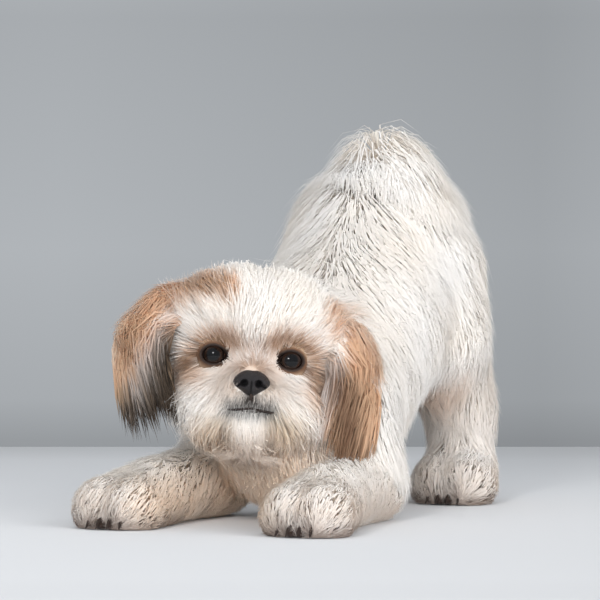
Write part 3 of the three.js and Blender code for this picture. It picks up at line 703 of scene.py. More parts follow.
# The skin: balls along every chain, joined by a remesh and drawn to the flesh's own surface
def flesh_balls():
    spots = []
    for chains in REGIONS.values():
        for chain in chains:
            for a, b in zip(chain, chain[1:]):
                a, b = np.array(a, float), np.array(b, float)
                count = max(2, int(np.linalg.norm(b[:3] - a[:3]) / (0.22 * min(a[3], b[3]))) + 1)
                spots += [blend(a, b, t) for t in np.linspace(0, 1, count)]
    return np.array(spots)


def joined_mesh(spots, voxel):
    bpy.ops.mesh.primitive_ico_sphere_add(subdivisions=4, radius=1)
    ball = bpy.context.object
    corners = np.array([v.co for v in ball.data.vertices])
    faces = np.array([p.vertices for p in ball.data.polygons])
    bpy.data.objects.remove(ball)
    count = len(corners)
    points = (spots[:, None, :3] + spots[:, None, 3:4] * corners[None]).reshape(-1, 3)
    faces = (faces[None] + count * np.arange(len(spots))[:, None, None]).reshape(-1, 3)
    rough = mesh_object("rough", points, faces, SKIN)
    remesh = rough.modifiers.new("remesh", "REMESH")
    remesh.mode = "VOXEL"
    remesh.voxel_size = voxel / 1000
    evaluated = rough.evaluated_get(bpy.context.evaluated_depsgraph_get())
    mesh = evaluated.to_mesh()
    mesh.calc_loop_triangles()
    points = np.empty(len(mesh.vertices) * 3, np.float32)
    mesh.vertices.foreach_get("co", points)
    triangles = np.empty(len(mesh.loop_triangles) * 3, np.int32)
    mesh.loop_triangles.foreach_get("vertices", triangles)
    evaluated.to_mesh_clear()
    bpy.data.objects.remove(rough)
    points = (points.reshape(-1, 3).astype(float) - OFFSET) * 1000
    return points, triangles.reshape(-1, 3)


def skin_surface():
    points, triangles = joined_mesh(flesh_balls(), 2.0)
    for _ in range(3):
        distance, slope, _ = WHOLE.measure(points, 0)
        points -= slope * np.clip(distance, -3, 3)[:, None]
    for sign in (-1, 1):
        x, y, ahead = at_eye(points, sign)
        forward = gaze_axes(sign)[0]
        near = (opening_reach(x, y) < 5) & (ahead > 0)
        behind_ball = np.sqrt(np.maximum(EYE_RADIUS**2 - x * x - y * y, 0)) - 1.5
        sunk = np.where(opening_reach(x, y) < 1, np.minimum(ahead, behind_ball), ahead - 1.5)
        points[near] += forward * (sunk - ahead)[near, None]
    points[:, 2] = np.maximum(points[:, 2], 1.5)
    return points, triangles


skin_points, skin_triangles = skin_surface()
_, _, skin_regions = WHOLE.measure(skin_points, 0)
skin_colours = markings(skin_points, skin_regions) * 0.9


# Roots of the coat
def scattered(count, weights, rng):
    """Points of the skin, each triangle drawn by its area times its weight."""
    a, b, c = (skin_points[skin_triangles[:, k]] for k in range(3))
    area = np.linalg.norm(np.cross(b - a, c - a), axis=1) * weights
    picked = rng.choice(len(area), size=count, p=area / area.sum())
    u, v = rng.random(count), rng.random(count)
    over = u + v > 1
    u[over], v[over] = 1 - u[over], 1 - v[over]
    spots = a[picked] + u[:, None] * (b - a)[picked] + v[:, None] * (c - a)[picked]
    return spots, picked, u, v


# The lie of the coat
def parted(x, width=30):
    """From -1 on the right of a parting to 1 on its left."""
    return np.clip(x / width, -1, 1)


def vectors(x, y, z, like):
    return np.stack([np.broadcast_to(k, len(like)).astype(float) for k in (x, y, z)], axis=1)


def trunk_lie(p):
    return vectors(0.6 * parted(p[:, 0] + 2, 60), 0.15, -1, p)


def neck_lie(p):
    return vectors(0.5 * parted(p[:, 0]), -0.2, -1, p)


def leg_lie(p):
    return vectors(0, 0.15, -1, p)


def forearm_lie(p):
    return vectors(0.3 * parted(p[:, 0]), -0.6, -0.75, p)


def paw_lie(p):
    return vectors(0.1 * parted(p[:, 0]), -1, -0.6, p)


def plume_lie(p):
    """Down to both sides from a parting along the tail's crest."""
    along = np.clip(p[:, 1:2] - PLUME_TOP[1], -PARTING / 2, PARTING / 2)
    return unit(p - PLUME_TOP - along * np.array([0, 1, 0])) + np.array([0.35, -0.25, -0.5])


def head_lie(p):
    """Away from the bridge of the nose and from both eyes, and down with its weight at the sides."""
    q = in_head(p)
    away = unit(q - np.array([0, 38, -14]))
    low = smooth(-q[:, 2], -12, 25)
    back = 0.8 * smooth(-q[:, 1], 0, 35)
    weight = np.maximum(blend(0.05, 0.9, low), back)
    lie = away + weight[:, None] * np.array([0, -0.1, -1])
    for sign in (-1, 1):
        from_eye = (q - np.array([sign * EYE_SPREAD, 27, 0])) * np.array([1, 0, 1])
        gap = np.linalg.norm(from_eye, axis=1) + 1e-6
        push = 2.0 * np.exp(-((gap / 15) ** 2)) * (q[:, 1] > 0)
        lie = lie + (push / gap)[:, None] * from_eye
    return lie @ HEAD_AXES


def ear_base_lie(p):
    """Out from the head, and down more and more with the distance from it."""
    q = in_head(p)
    fall = smooth(np.abs(q[:, 0]), 34, 74)
    return vectors(np.sign(q[:, 0]) * (1.1 - fall), 0.15, -0.25 - fall, p) @ HEAD_AXES


LIES = {
    "ear_bases": ear_base_lie,
    "torso": trunk_lie,
    "neck": neck_lie,
    "head": head_lie,
    "tail": plume_lie,
    "arms": leg_lie,
    "forearms": forearm_lie,
    "hindlegs": leg_lie,
    "paws": paw_lie,
}

# Each region's tufts: how many, length and width in millimetres, bends, how early they rise,
# how much they gather into locks, and how much they wave
STYLE_WORDS = ("count", "length", "width", "bends", "rise", "gather", "wave")
STYLE_ROWS = {
    "torso": (28000, 46, 1.1, 2, 0.3, 0.2, 1.0),
    "neck": (8000, 42, 1.0, 2, 0.3, 0.25, 1.0),
    "head": (27000, 38, 0.85, 2, 0.32, 0.3, 0.8),
    "ear_bases": (4500, 34, 0.85, 2, 0.45, 0.3, 1.2),
    "tail": (7500, 52, 1.1, 3, 0.3, 0.2, 1.2),
    "arms": (6000, 32, 1.0, 2, 0.3, 0.2, 1.0),
    "forearms": (9000, 32, 1.0, 2, 0.3, 0.4, 1.8),
    "hindlegs": (13000, 38, 0.95, 2, 0.3, 0.4, 1.8),
    "paws": (17000, 19, 0.95, 2, 0.28, 0.4, 1.4),
}
STYLES = {name: dict(zip(STYLE_WORDS, row)) for name, row in STYLE_ROWS.items()}
UNDERCOAT = dict(zip(STYLE_WORDS, (16000, 24, 2.6, 2, 0.1, 0.0, 1.0)))
UNDERCOAT_TOP = 0.66
UNDERCOAT_WEIGHTS = {
    "torso": 1.0, "neck": 1.0, "head": 0.8, "ear_bases": 1.5, "tail": 3.0,
    "arms": 1.2, "forearms": 2.0, "hindlegs": 1.5, "paws": 3.0,
}
PIECE_LIMIT = 190000
SPREAD = {"length": (0.7, 1.15), "width": (0.7, 1.3), "top": (0.74, 1.03), "swing": 0.12}
STRAY = {"share": 0.04, "top": (1.0, 1.15), "swing": 0.5, "width": 0.6}
LOCK_REACH = 25
TUFTS_TO_A_LOCK = 14
ROOT_DEPTH = 1.5


def nearest_guides(roots, count, rng):
    """For each root the nearest of a few chosen ones, which its lock gathers to."""
    chosen = rng.choice(len(roots), size=max(2, count), replace=False)
    nearest = np.empty(len(roots), int)
    for low in range(0, len(roots), 2000):
        part = roots[low : low + 2000]
        gap = ((part[:, None] - roots[chosen][None]) ** 2).sum(2)
        nearest[low : low + 2000] = chosen[gap.argmin(1)]
    return nearest


def crown_lift(roots):
    """How much longer and higher hair stands at the tuft on the crown."""
    flat = in_head(roots)[:, [0, 2]]
    return 0.55 * patch(flat, (-16, 56), (14, 12), 0.7)


def combed(form, roots, lie, style, length, top, swing):
    """The way each tuft takes from its root to its tip, and the way its flat side faces."""
    bends = style["bends"]
    _, normal, _ = form.measure(roots, 0)
    points, facing = [roots - ROOT_DEPTH * normal], [normal]
    here = roots
    run = (np.arange(bends + 1) / bends) ** 1.35
    for k in range(1, bends + 1):
        share = top * (k / bends) ** style["rise"]
        _, normal, _ = form.measure(here, share)
        heading = unit(lie(here))
        across = np.cross(normal, heading)
        heading = heading + across * swing[:, None]
        heading = unit(heading - (heading * normal).sum(1)[:, None] * normal)
        here = here + heading * (length * (run[k] - run[k - 1]))[:, None]
        distance, normal, _ = form.measure(here, share)
        loose = 0.8 if k == bends else 1.0
        here = here - normal * (distance * loose)[:, None]
        here[:, 2] = np.maximum(here[:, 2], FLOOR_CLEARANCE)
        points.append(here)
        facing.append(normal)
    return np.stack(points, 1), np.stack(facing, 1)


def gathered(points, roots, style, rng):
    """Tufts drawn together towards their tips, with a wave along them."""
    n, rings = points.shape[:2]
    t = np.linspace(0, 1, rings)
    guide = nearest_guides(roots, n // TUFTS_TO_A_LOCK, rng)
    pull = style["gather"] * rng.uniform(0.3, 1.3, n)
    shift = points[guide] - points
    near = np.linalg.norm(shift[:, -1], axis=1) < LOCK_REACH
    points = points + shift * (pull * near)[:, None, None] * (t**1.4)[None, :, None]
    tangent = unit(points[:, -1] - points[:, 0])
    side = unit(np.cross(tangent, rng.normal(size=(n, 3))))
    phase = rng.uniform(0, 2 * np.pi, n)
    sway = style["wave"] * np.sin(phase[:, None] + t[None] * 2 * np.pi * 0.7) * t[None]
    return points + side[:, None] * sway[..., None]


TUFT_THICKNESS = 0.22


def tuft_geometry(points, facing, width):
    """Closed, flat, tapered tufts of three sides along each path."""
    n, rings = points.shape[:2]
    tangent = np.empty_like(points)
    tangent[:, 1:-1] = points[:, 2:] - points[:, :-2]
    tangent[:, 0] = points[:, 1] - points[:, 0]
    tangent[:, -1] = points[:, -1] - points[:, -2]
    tangent = unit(tangent)
    side = unit(np.cross(tangent, facing))
    up = np.cross(side, tangent)
    body = slice(0, rings - 1)
    t = np.linspace(0, 1, rings)[:-1]
    taper = blend(0.7, 1, smooth(t, 0, 0.3)) * (1 - 0.7 * smooth(t, 0.35, 1.1))
    half = 0.5 * width[:, None] * taper[None]
    corners = []
    for turn in (-math.pi / 2, math.pi / 6, math.pi / 6 * 5):
        across, over = math.cos(turn), math.sin(turn)
        thick = over * np.minimum(0.35 * half, TUFT_THICKNESS)
        offset = side[:, body] * (across * half)[..., None] + up[:, body] * thick[..., None]
        corners.append(points[:, body] + offset)
    sections = np.stack(corners, 2).reshape(n, -1, 3)
    vertices = np.concatenate([sections, points[:, -1:]], 1)
    vertices[..., 2] = np.maximum(vertices[..., 2], LOWEST)
    pattern = [(0, 1, 2)]
    for r in range(rings - 2):
        for k in range(3):
            a, b = 3 * r + k, 3 * r + (k + 1) % 3
            pattern += [(a, b + 3, b), (a, a + 3, b + 3)]
    last, tip = 3 * (rings - 2), 3 * (rings - 1)
    pattern += [(last + k, tip, last + (k + 1) % 3) for k in range(3)]
    along = np.append(np.repeat(t, 3), 1.0)
    over = np.append(np.tile([0.5, 0, 1], rings - 1), 0.5)
    return vertices, np.array(pattern), along, over


PATCH = 0.003


def add_coat(name, points, facing, width, ring_colours, uv):
    """Tufts as one or more pieces, each under the limit of triangles."""
    vertices, pattern, along, over = tuft_geometry(points, facing, width)
    per = vertices.shape[1]
    colours = np.concatenate([np.repeat(ring_colours[:, :-1], 3, axis=1), ring_colours[:, -1:]], 1)
    limit = PIECE_LIMIT // len(pattern)
    for number, low in enumerate(range(0, len(vertices), limit)):
        part = slice(low, low + limit)
        n = len(vertices[part])
        triangles = (pattern[None] + per * np.arange(n)[:, None, None]).reshape(-1, 3)
        patches = uv[part][:, None] + PATCH * np.stack([over - 0.5, along - 0.5], 1)[None]
        piece = mesh_object(
            f"coat_{name}_{number + 1}",
            vertices[part].reshape(-1, 3),
            triangles,
            HAIR,
            colours[part].reshape(-1, 3),
            np.clip(patches, 0, 1).reshape(-1, 2),
            smooth_faces=False,
        )
        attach(piece, "root")


def strand_tone(count, rings, roots, rng):
    """Each tuft's own lightness, with painted shade that darkens it towards its root."""
    light = rng.normal(1, 0.02, count) + 0.02 * ripple(roots, 12, 9)
    t = np.linspace(0, 1, rings)
    # Painted shade deep in the coat, at the roots
    root_shade = np.array([0.95, 0.92, 0.88])
    return light[:, None, None] * blend(root_shade, 1.0, smooth(t, 0, 0.6)[:, None])[None]


def tuft_colours(points, roots, regions, rng):
    """The markings and painted shade along each tuft, read a little off its place so that their edges are
    streaky.
    """
    count, rings = points.shape[:2]
    jitter = rng.normal(0, 1.6, (count, 1, 3))
    spots = blend(points, roots[:, None], 0.1) + jitter
    base = markings(spots.reshape(-1, 3), np.repeat(regions, rings)).reshape(count, rings, 3)
    return np.clip(base * strand_tone(count, rings, roots, rng), 0, 1)


# The eyeball, dark brown with a black pupil under a clear bulging cornea
def eye(sign):
    forward, side, up = gaze_axes(sign)
    rows, columns = 60, 64
    pupil_black = srgb(6, 6, 8)
    lean = np.linspace(0, np.pi, rows + 2)[1:-1]
    turn = np.linspace(0, 2 * np.pi, columns, endpoint=False)
    points, colours = [], []
    for a in lean:
        cornea = 0.9 * np.exp(-((a / 0.55) ** 2))
        radius = EYE_RADIUS - 0.3 + cornea
        ring = math.sin(a) * (np.cos(turn)[:, None] * side + np.sin(turn)[:, None] * up)
        points.append(eye_centre(sign) + radius * (ring + math.cos(a) * forward))
        pupil = 1 - smooth(a, 0.34, 0.5)
        streaks = 1 + 0.25 * np.sin(turn * 23) + 0.2 * np.sin(turn * 41 + 1)
        iris = srgb(37, 24, 18) * streaks[:, None]
        tone = blend(iris, pupil_black, pupil)
        tone = blend(tone, srgb(14, 9, 8), smooth(a, 0.56, 0.66))
        tone = blend(tone, srgb(44, 30, 26), 0.6 * smooth(a, 0.72, 0.8))
        colours.append(tone)
    front = eye_centre(sign) + forward * (EYE_RADIUS + 0.6)
    back = eye_centre(sign) - forward * (EYE_RADIUS - 0.3)
    points = np.concatenate([*points, [front], [back]])
    colours = np.concatenate([*colours, [pupil_black], [srgb(60, 45, 40)]])
    triangles = grid_triangles(rows, columns)
    triangles = capped(triangles, rows, columns, rows * columns, rows * columns + 1)
    name = paired("eye", sign)
    ball = mesh_object(f"{name}_ball", points, triangles, EYE, colours)
    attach(ball, "root")
    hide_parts(name)


def traced(starts, ahead, share):
    """Where lines that come from in front meet the surface at a share of the coat."""
    here = starts.copy()
    for _ in range(24):
        distance, _, _ = WHOLE.measure(here, share)
        here -= ahead * (0.8 * distance)[:, None]
    return here


LID = {"thick": 1.4, "rows": 16, "reach": 8.5}


def eyelid(sign):
    """Lids that wrap the ball, with a rounded dark rim and a crease, and run into the face."""
    forward, side, up = gaze_axes(sign)
    columns = 96
    turn = np.linspace(0, 2 * np.pi, columns, endpoint=False)
    c, s = np.cos(turn), np.sin(turn)
    rim = 1 / np.hypot(c / EYE_OPENING[0], s / EYE_OPENING[1])
    rim = rim * (1 + np.where(c * sign > 0, 0.16, 0.06) * np.abs(c) ** 8)
    steps = np.linspace(0, 1, LID["rows"]) ** 1.3 * LID["reach"]
    rows, tones = [], []
    for out in steps:
        radius = rim + out
        flat = radius[:, None] * (c[:, None] * side + s[:, None] * up)
        face = traced(eye_centre(sign) + flat + forward * 30, forward, 0)
        face_height = (face - eye_centre(sign)) @ forward
        shell = EYE_RADIUS + LID["thick"] * smooth(out, -0.6, 1.0) + 0.1
        ball_height = np.sqrt(np.maximum(shell**2 - radius**2, 0))
        crease = -0.7 * np.exp(-(((out - 3.4) / 0.7) ** 2)) * (s > -0.2)
        cover = np.logaddexp(ball_height * 1.2, face_height * 1.2 + 0.3) / 1.2
        height = blend(ball_height, cover, smooth(out, 0.3, 3)) + crease
        height = height - 2.5 * smooth(out, 6, LID["reach"])
        rows.append(eye_centre(sign) + flat + forward * height[:, None])
        fur = face_markings_and_shade(rows[-1], np.tile(TAN, (columns, 1)))
        tone = blend(BROWN_BLACK, DARK_TAN * 0.6, smooth(out, 0.8, 2.2))
        tones.append(blend(np.tile(tone, (columns, 1)), fur * 0.62, smooth(out, 1.8, 4.6)))
    inside = eye_centre(sign) + (rows[0] - eye_centre(sign)) * 0.93
    under = eye_centre(sign) + (rows[-1] - eye_centre(sign)) * 0.85
    rows, tones = [inside, *rows, under], [tones[0], *tones, tones[-1]]
    points = np.concatenate(rows)
    triangles = grid_triangles(len(rows), columns)
    last = (len(rows) - 1) * columns
    for j in range(columns):
        k = (j + 1) % columns
        triangles += [(last + j, last + k, k), (last + j, k, j)]
    lid = mesh_object(paired("eyelid", sign), points, triangles, LID_SKIN, np.concatenate(tones))
    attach(lid, "root")


# The nose leather
NOSE = {"at": (0.8, 43, -17.2), "half": (10.6, 7.5, 8.6)}


def nose():
    ball, triangles = globe(70, 96)
    x, z, y = ball.T
    wide, root_shade, high = NOSE["half"]
    taper = 1 - 0.36 * smooth(-z, 0, 1)
    square = 1 + 0.12 * (1 - z * z) * np.abs(x)
    px = x * taper * square * wide
    pz = z * high - 0.6 * np.exp(-((x * wide / 2.5) ** 2)) * (z > 0)
    py = y * root_shade
    pit = np.zeros(len(px))
    for sign in (-1, 1):
        hole = np.hypot((px - sign * 4.6) / 2.5, (pz + 0.6) / 2.4)
        slit_drop = 0.35 * (np.abs(px) - 7.5)
        slit = np.hypot((px - sign * 7.6) / 3.0, (pz + 2.0 + slit_drop) / 1.0)
        pit = np.maximum(pit, 1 - smooth(hole, 0.55, 1.15))
        pit = np.maximum(pit, 0.7 * (1 - smooth(slit, 0.4, 1.2)))
    front = smooth(py, 0.5, 3.5)
    groove = np.exp(-((px / 0.5) ** 2)) * (1 - smooth(pz, -2, 2))
    wings = np.exp(-(((np.abs(px) - 7) / 2.6) ** 2) - ((pz - 1.5) / 3.0) ** 2)
    py = py - front * (4.5 * pit + 1.2 * groove) + front * 0.5 * wings
    points = HEAD_CENTRE + (np.array(NOSE["at"]) + np.stack([px, py, pz], 1)) @ HEAD_AXES
    # Darker in the nostrils and down the groove: painted shade in the hollows
    dark = np.clip(pit * front + groove * front, 0, 1)[:, None]
    tone = blend(srgb(38, 35, 36), srgb(8, 7, 8), dark)
    leather = mesh_object("nose_leather", points, triangles, LEATHER, tone)
    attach(leather, "root")
    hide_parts("nose")


# Rolls of soft skin for the lips and the groove over them
def roll(name, path, radii, colour):
    thick = np.interp(np.linspace(0, 1, 24), np.linspace(0, 1, len(radii)), radii)
    points, triangles = tube(path, thick, 14, HEAD_AXES[1])
    made = mesh_object(name, points, triangles, LID_SKIN, np.tile(colour, (len(points), 1)))
    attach(made, "root")


def on_face(x, z, share):
    """Points of the face at a share of its coat, at places across and up the head's front."""
    x, z = np.broadcast_arrays(np.asarray(x, float), np.asarray(z, float))
    starts = HEAD_CENTRE + np.stack([x, np.full(len(x), 75.0), z], 1) @ HEAD_AXES
    return traced(starts, HEAD_AXES[1], share)


def mouth():
    a = np.linspace(0, 1, 5)
    for sign in (1, -1):
        x = 1.5 + sign * 15 * a
        z = -33.4 - 1.8 * np.sin(a * np.pi / 2)
        roll(paired("upper_lip", sign), on_face(x, z, 0.7), [0.9, 1.0, 0.9, 0.5], BROWN_BLACK * 0.6)
    b = np.linspace(-1, 1, 6)
    lower = on_face(1.5 + 11 * b, -35.4 + 0.4 * b * b, 0.6)
    roll("lower_lip", lower, [0.6, 0.9, 0.9, 0.6], BROWN_BLACK * 0.6)
    roll("philtrum", on_face(np.full(4, 1.2), np.linspace(-24, -32, 4), 0.15), [1.2, 1.0, 1.0], BROWN_BLACK)


# Claws and pads
SOLE_CLEARANCE = 0.3


def claw(name, root, tip, radius):
    root, tip = np.array(root, float), np.array(tip, float)
    middle = (root + tip) / 2 + np.array([0, 0, 1.6])
    thick = radius * (1 - 0.85 * np.linspace(0, 1, 12) ** 1.6)
    points, triangles = tube([root, middle, tip], thick, 12, [0, 0, 1], narrow=0.75)
    points[:, 2] = np.maximum(points[:, 2], SOLE_CLEARANCE)
    made = mesh_object(name, points, triangles, HORN, np.tile(BROWN_BLACK, (len(points), 1)))
    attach(made, "root")


def pad(name, centre, size):
    """A leathery cushion under a toe, flat where it presses the floor."""
    points, triangles = globe(14, 22)
    lumps = 1 + 0.05 * ripple(points * 10, 9, 4)
    points = np.array(centre) + points * np.array(size) * lumps[:, None]
    points[:, 2] = np.maximum(points[:, 2], SOLE_CLEARANCE)
    made = mesh_object(name, points, triangles, LEATHER, np.tile(BROWN_BLACK * 1.4, (len(points), 1)))
    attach(made, "root")


TOE_PLACES = (-1.5, -0.5, 0.5, 1.5)


def paw_details(name, toes):
    for number, place in enumerate(TOE_PLACES):
        x = toes[0] + place * 7
        y = toes[1] - 17 + abs(place) * 1.5
        claw(f"{name}_claw_{number + 1}", (x, y, 6.0), (x + place, y - 8, 1.2), 2.5)
        pad(f"{name}_pad_{number + 1}", (x, y + 1, 3.2), (3.6, 5.4, 3.4))


# Camera, light and ground
CAMERA = {"side": 954.8, "back": -1993.9, "height": 190.0, "azimuth": 25.0, "pitch": 1.133, "lens": 203.3}


def add_camera():
    data = bpy.data.cameras.new("camera")
    data.lens = CAMERA["lens"]
    data.sensor_width = 36
    camera = bpy.data.objects.new("camera", data)
    bpy.context.scene.collection.objects.link(camera)
    camera.location = in_frame((CAMERA["side"], CAMERA["back"], CAMERA["height"]))
    azimuth, pitch = math.radians(CAMERA["azimuth"]), math.radians(CAMERA["pitch"])
    level = math.cos(pitch)
    ahead = Vector((-math.sin(azimuth) * level, math.cos(azimuth) * level, -math.sin(pitch)))
    camera.rotation_mode = "QUATERNION"
    camera.rotation_quaternion = ahead.to_track_quat("-Z", "Y")
    data.clip_end = 100
    bpy.context.scene.camera = camera


def add_light(name, spot, target, size, power):
    data = bpy.data.lights.new(name, "AREA")
    data.shape = "RECTANGLE"
    data.size, data.size_y = size
    data.energy = power
    light = bpy.data.objects.new(name, data)
    bpy.context.scene.collection.objects.link(light)
    light.visible_glossy = name == "key"
    light.location = Vector(in_frame(spot))
    towards = Vector(in_frame(target)) - light.location
    light.rotation_mode = "QUATERNION"
    light.rotation_quaternion = towards.to_track_quat("-Z", "Y")


def tone_along(nodes, links, place, axis, stops, scale=1.0):
    """How light things are along an axis: stops are (place, share). The share comes out times the scale."""
    along = nodes.new("ShaderNodeVectorMath")
    along.operation = "DOT_PRODUCT"
    along.inputs[1].default_value = tuple(axis)
    low, high = stops[0][0], stops[-1][0]
    scaled = add_node(nodes, "MapRange", From_Min=low, From_Max=high)
    ramp = nodes.new("ShaderNodeValToRGB")
    elements = ramp.color_ramp.elements
    while len(elements) < len(stops):
        elements.new(0.5)
    for element, (at, share) in zip(elements, stops):
        element.position = (at - low) / (high - low)
        element.color = (*[share * scale] * 3, 1)
    links.new(place, along.inputs[0])
    links.new(along.outputs["Value"], scaled.inputs["Value"])
    links.new(scaled.outputs["Result"], ramp.inputs["Fac"])
    return ramp


def toned(nodes, links, colour, ramps):
    """A colour times every ramp's tone."""
    for ramp in ramps:
        colour = multiplied(nodes, links, colour, ramp.outputs["Color"])
    return colour


def stage_material(name, colour, tones):
    """A matt studio paper with painted light and shade: its tone changes along axes of the frame."""
    material, nodes, links, shader = new_material(name, 0.9)
    shader.inputs["Specular IOR Level"].default_value = 0.1
    place = nodes.new("ShaderNodeNewGeometry").outputs["Position"]
    ramps = [tone_along(nodes, links, place, axis, stops) for axis, stops in tones]
    for ramp in ramps:
        ramp.color_ramp.interpolation = "B_SPLINE"
    links.new(toned(nodes, links, colour, ramps), shader.inputs["Base Color"])
    return material


FLOOR_BEHIND = 743
# Painted light and shade on the floor: brightest a little in front of its far edge, darker towards that edge
# and towards the camera, and darker to the right
FLOOR_LIGHT_AHEAD = [(-1.3, 0.80), (-1.15, 0.82), (-0.6, 1.06), (-0.17, 0.84), (0.0, 0.68)]
FLOOR_LIGHT_ACROSS = [(-0.4, 1.0), (0.0, 0.97), (0.4, 0.78)]


def view_axes():
    """To the right and ahead as the photo's camera sees them, along the floor."""
    azimuth = math.radians(CAMERA["azimuth"])
    right = np.array([math.cos(azimuth), math.sin(azimuth), 0])
    ahead = np.array([-math.sin(azimuth), math.cos(azimuth), 0])
    return right, ahead


def add_stage():
    right, ahead = view_axes()
    middle = np.array([0, 60, 0])
    near, far, wide = -4000, FLOOR_BEHIND, 3000
    corners = ((-wide, near), (wide, near), (wide, far), (-wide, far))
    floor = [middle + right * x + ahead * y for x, y in corners]
    foot = float(in_frame(middle + ahead * far) @ ahead)
    centre = float(in_frame(middle) @ right)
    floor_light_stops = [(foot + place, share) for place, share in FLOOR_LIGHT_AHEAD]
    across = [(centre + place, share) for place, share in FLOOR_LIGHT_ACROSS]
    paper = stage_material("floor", srgb(228, 229, 231), [(ahead, floor_light_stops), (right, across)])
    mesh_object("floor", floor, [(0, 1, 2), (0, 2, 3)], paper)


LIGHTS = {
    "key": {"at": (350, -2100, 1300), "size": (0.42, 0.4), "power": 14},
    "front": {"at": (900, -2200, 850), "size": (2.4, 1.4), "power": 43},
    "right": {"at": (2200, -700, 800), "size": (1.8, 1.6), "power": 41},
    "top": {"at": (-100, 500, 2300), "size": (2.0, 2.0), "power": 8},
}
SKY = (0.403, 0.424, 0.446)
SKY_UP = [
    (-0.1, 1.35), (-0.076, 0.66), (-0.061, 0.71), (-0.049, 0.885), (-0.005, 1.0), (0.063, 0.893), (0.1, 1.08),
]
SKY_ACROSS = [(-0.1, 1.08), (-0.07, 1.09), (0.0, 1.0), (0.07, 0.905), (0.1, 1.0)]


def add_sky():
    """A soft grey studio all round, darker low down and to the right of the photo's view."""
    world = bpy.data.worlds.new("world")
    world.use_nodes = True
    nodes, links = world.node_tree.nodes, world.node_tree.links
    direction = nodes.new("ShaderNodeTexCoord").outputs["Generated"]
    right, _ = view_axes()
    halves = [
        tone_along(nodes, links, direction, axis, stops, 0.5)
        for axis, stops in (((0, 0, 1), SKY_UP), (right, SKY_ACROSS))
    ]
    links.new(toned(nodes, links, SKY, halves), nodes["Background"].inputs["Color"])
    nodes["Background"].inputs["Strength"].default_value = 4
    bpy.context.scene.world = world


def add_lights():
    bpy.context.scene.cycles.max_bounces = 20
    bpy.context.scene.cycles.diffuse_bounces = 16
    body_middle = (0, 80, 110)
    for name, light in LIGHTS.items():
        add_light(name, light["at"], body_middle, light["size"], light["power"])


add_camera()
add_stage()
add_sky()
add_lights()


# The dog
skin = mesh_object("skin", skin_points, skin_triangles, SKIN, skin_colours)
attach(skin, "root")
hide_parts(*[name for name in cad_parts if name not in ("eye_left", "eye_right", "nose")])


# The unwrap is a square of charts, whose top row is for the ears
CHART_ROWS = 11
CHART_GAP = 0.01


def skin_unwrap():
    """Where each corner of the skin lies on an unwrap of it: a chart for each region and side."""
    triangles = skin_points[skin_triangles]
    normal = np.cross(triangles[:, 1] - triangles[:, 0], triangles[:, 2] - triangles[:, 0])
    axis = np.abs(normal).argmax(1)
    towards = (np.take_along_axis(normal, axis[:, None], 1)[:, 0] > 0).astype(int)
    half = (triangles.mean(1)[:, 0] > 0).astype(int)
    chart = ((skin_regions[skin_triangles[:, 0]] * 3 + axis) * 2 + towards) * 2 + half
    others = np.array([(1, 2), (0, 2), (0, 1)])[axis]
    flat = np.take_along_axis(triangles, others[:, None, :], 2)
    placed = np.empty_like(flat)
    for number in np.unique(chart):
        mine = chart == number
        low, high = flat[mine].min((0, 1)), flat[mine].max((0, 1))
        share = (flat[mine] - low) / (high - low).max()
        corner = np.array([number % CHART_ROWS, number // CHART_ROWS]) / CHART_ROWS
        placed[mine] = corner + CHART_GAP / 2 + (1 / CHART_ROWS - CHART_GAP) * share
    return placed


skin_uv = skin_unwrap()
layer = skin.data.uv_layers.new(name="OFBake")
layer.data.foreach_set("uv", skin_uv.reshape(-1).astype(np.float32))
triangle_region = skin_regions[skin_triangles[:, 0]]
triangle_middle = skin_points[skin_triangles].mean(1)


def bare(points):
    """Whether no hair grows here: in and next to the eyes' openings, and under the nose leather."""
    q = in_head(points)
    open_eye = np.zeros(len(points), bool)
    for sign in (-1, 1):
        x, y, ahead = at_eye(points, sign)
        open_eye |= (opening_reach(x, y) < 1.17) & (ahead > -2)
    narrower = 1 - 0.5 * smooth(-q[:, 2], 16, 25)
    nose_x, nose_z = (q[:, 0] - 0.8) / (10.4 * narrower), (q[:, 2] + 17) / 8
    return open_eye | ((nose_x**2 + nose_z**2 < 1) & (q[:, 1] > 25))


def unwrapped(picked, u, v):
    """The unwrap's places of points scattered over the skin."""
    corner, second, third = (skin_uv[picked, k] for k in range(3))
    return corner + u[:, None] * (second - corner) + v[:, None] * (third - corner)


def head_growth(roots, length, top):
    """Longer and fuller hair on the beard, cheeks and jaw, and a tuft on the crown."""
    place = in_head(roots)
    beard = smooth(-place[:, 2], 30, 50)
    cheek = patch(np.abs(place[:, [0, 2]]), (42, 32), (18, 20), 0.7)
    jaw = patch(np.abs(place[:, [0, 2]]), (28, 48), (20, 18), 0.7)
    fuller = np.maximum(np.maximum(beard, 0.8 * cheek), 1.2 * jaw)
    length, top = length * (1 + 0.5 * fuller), top * (1 + 0.22 * fuller)
    lift = crown_lift(roots)
    return length * (1 + lift), top * (1 + lift)


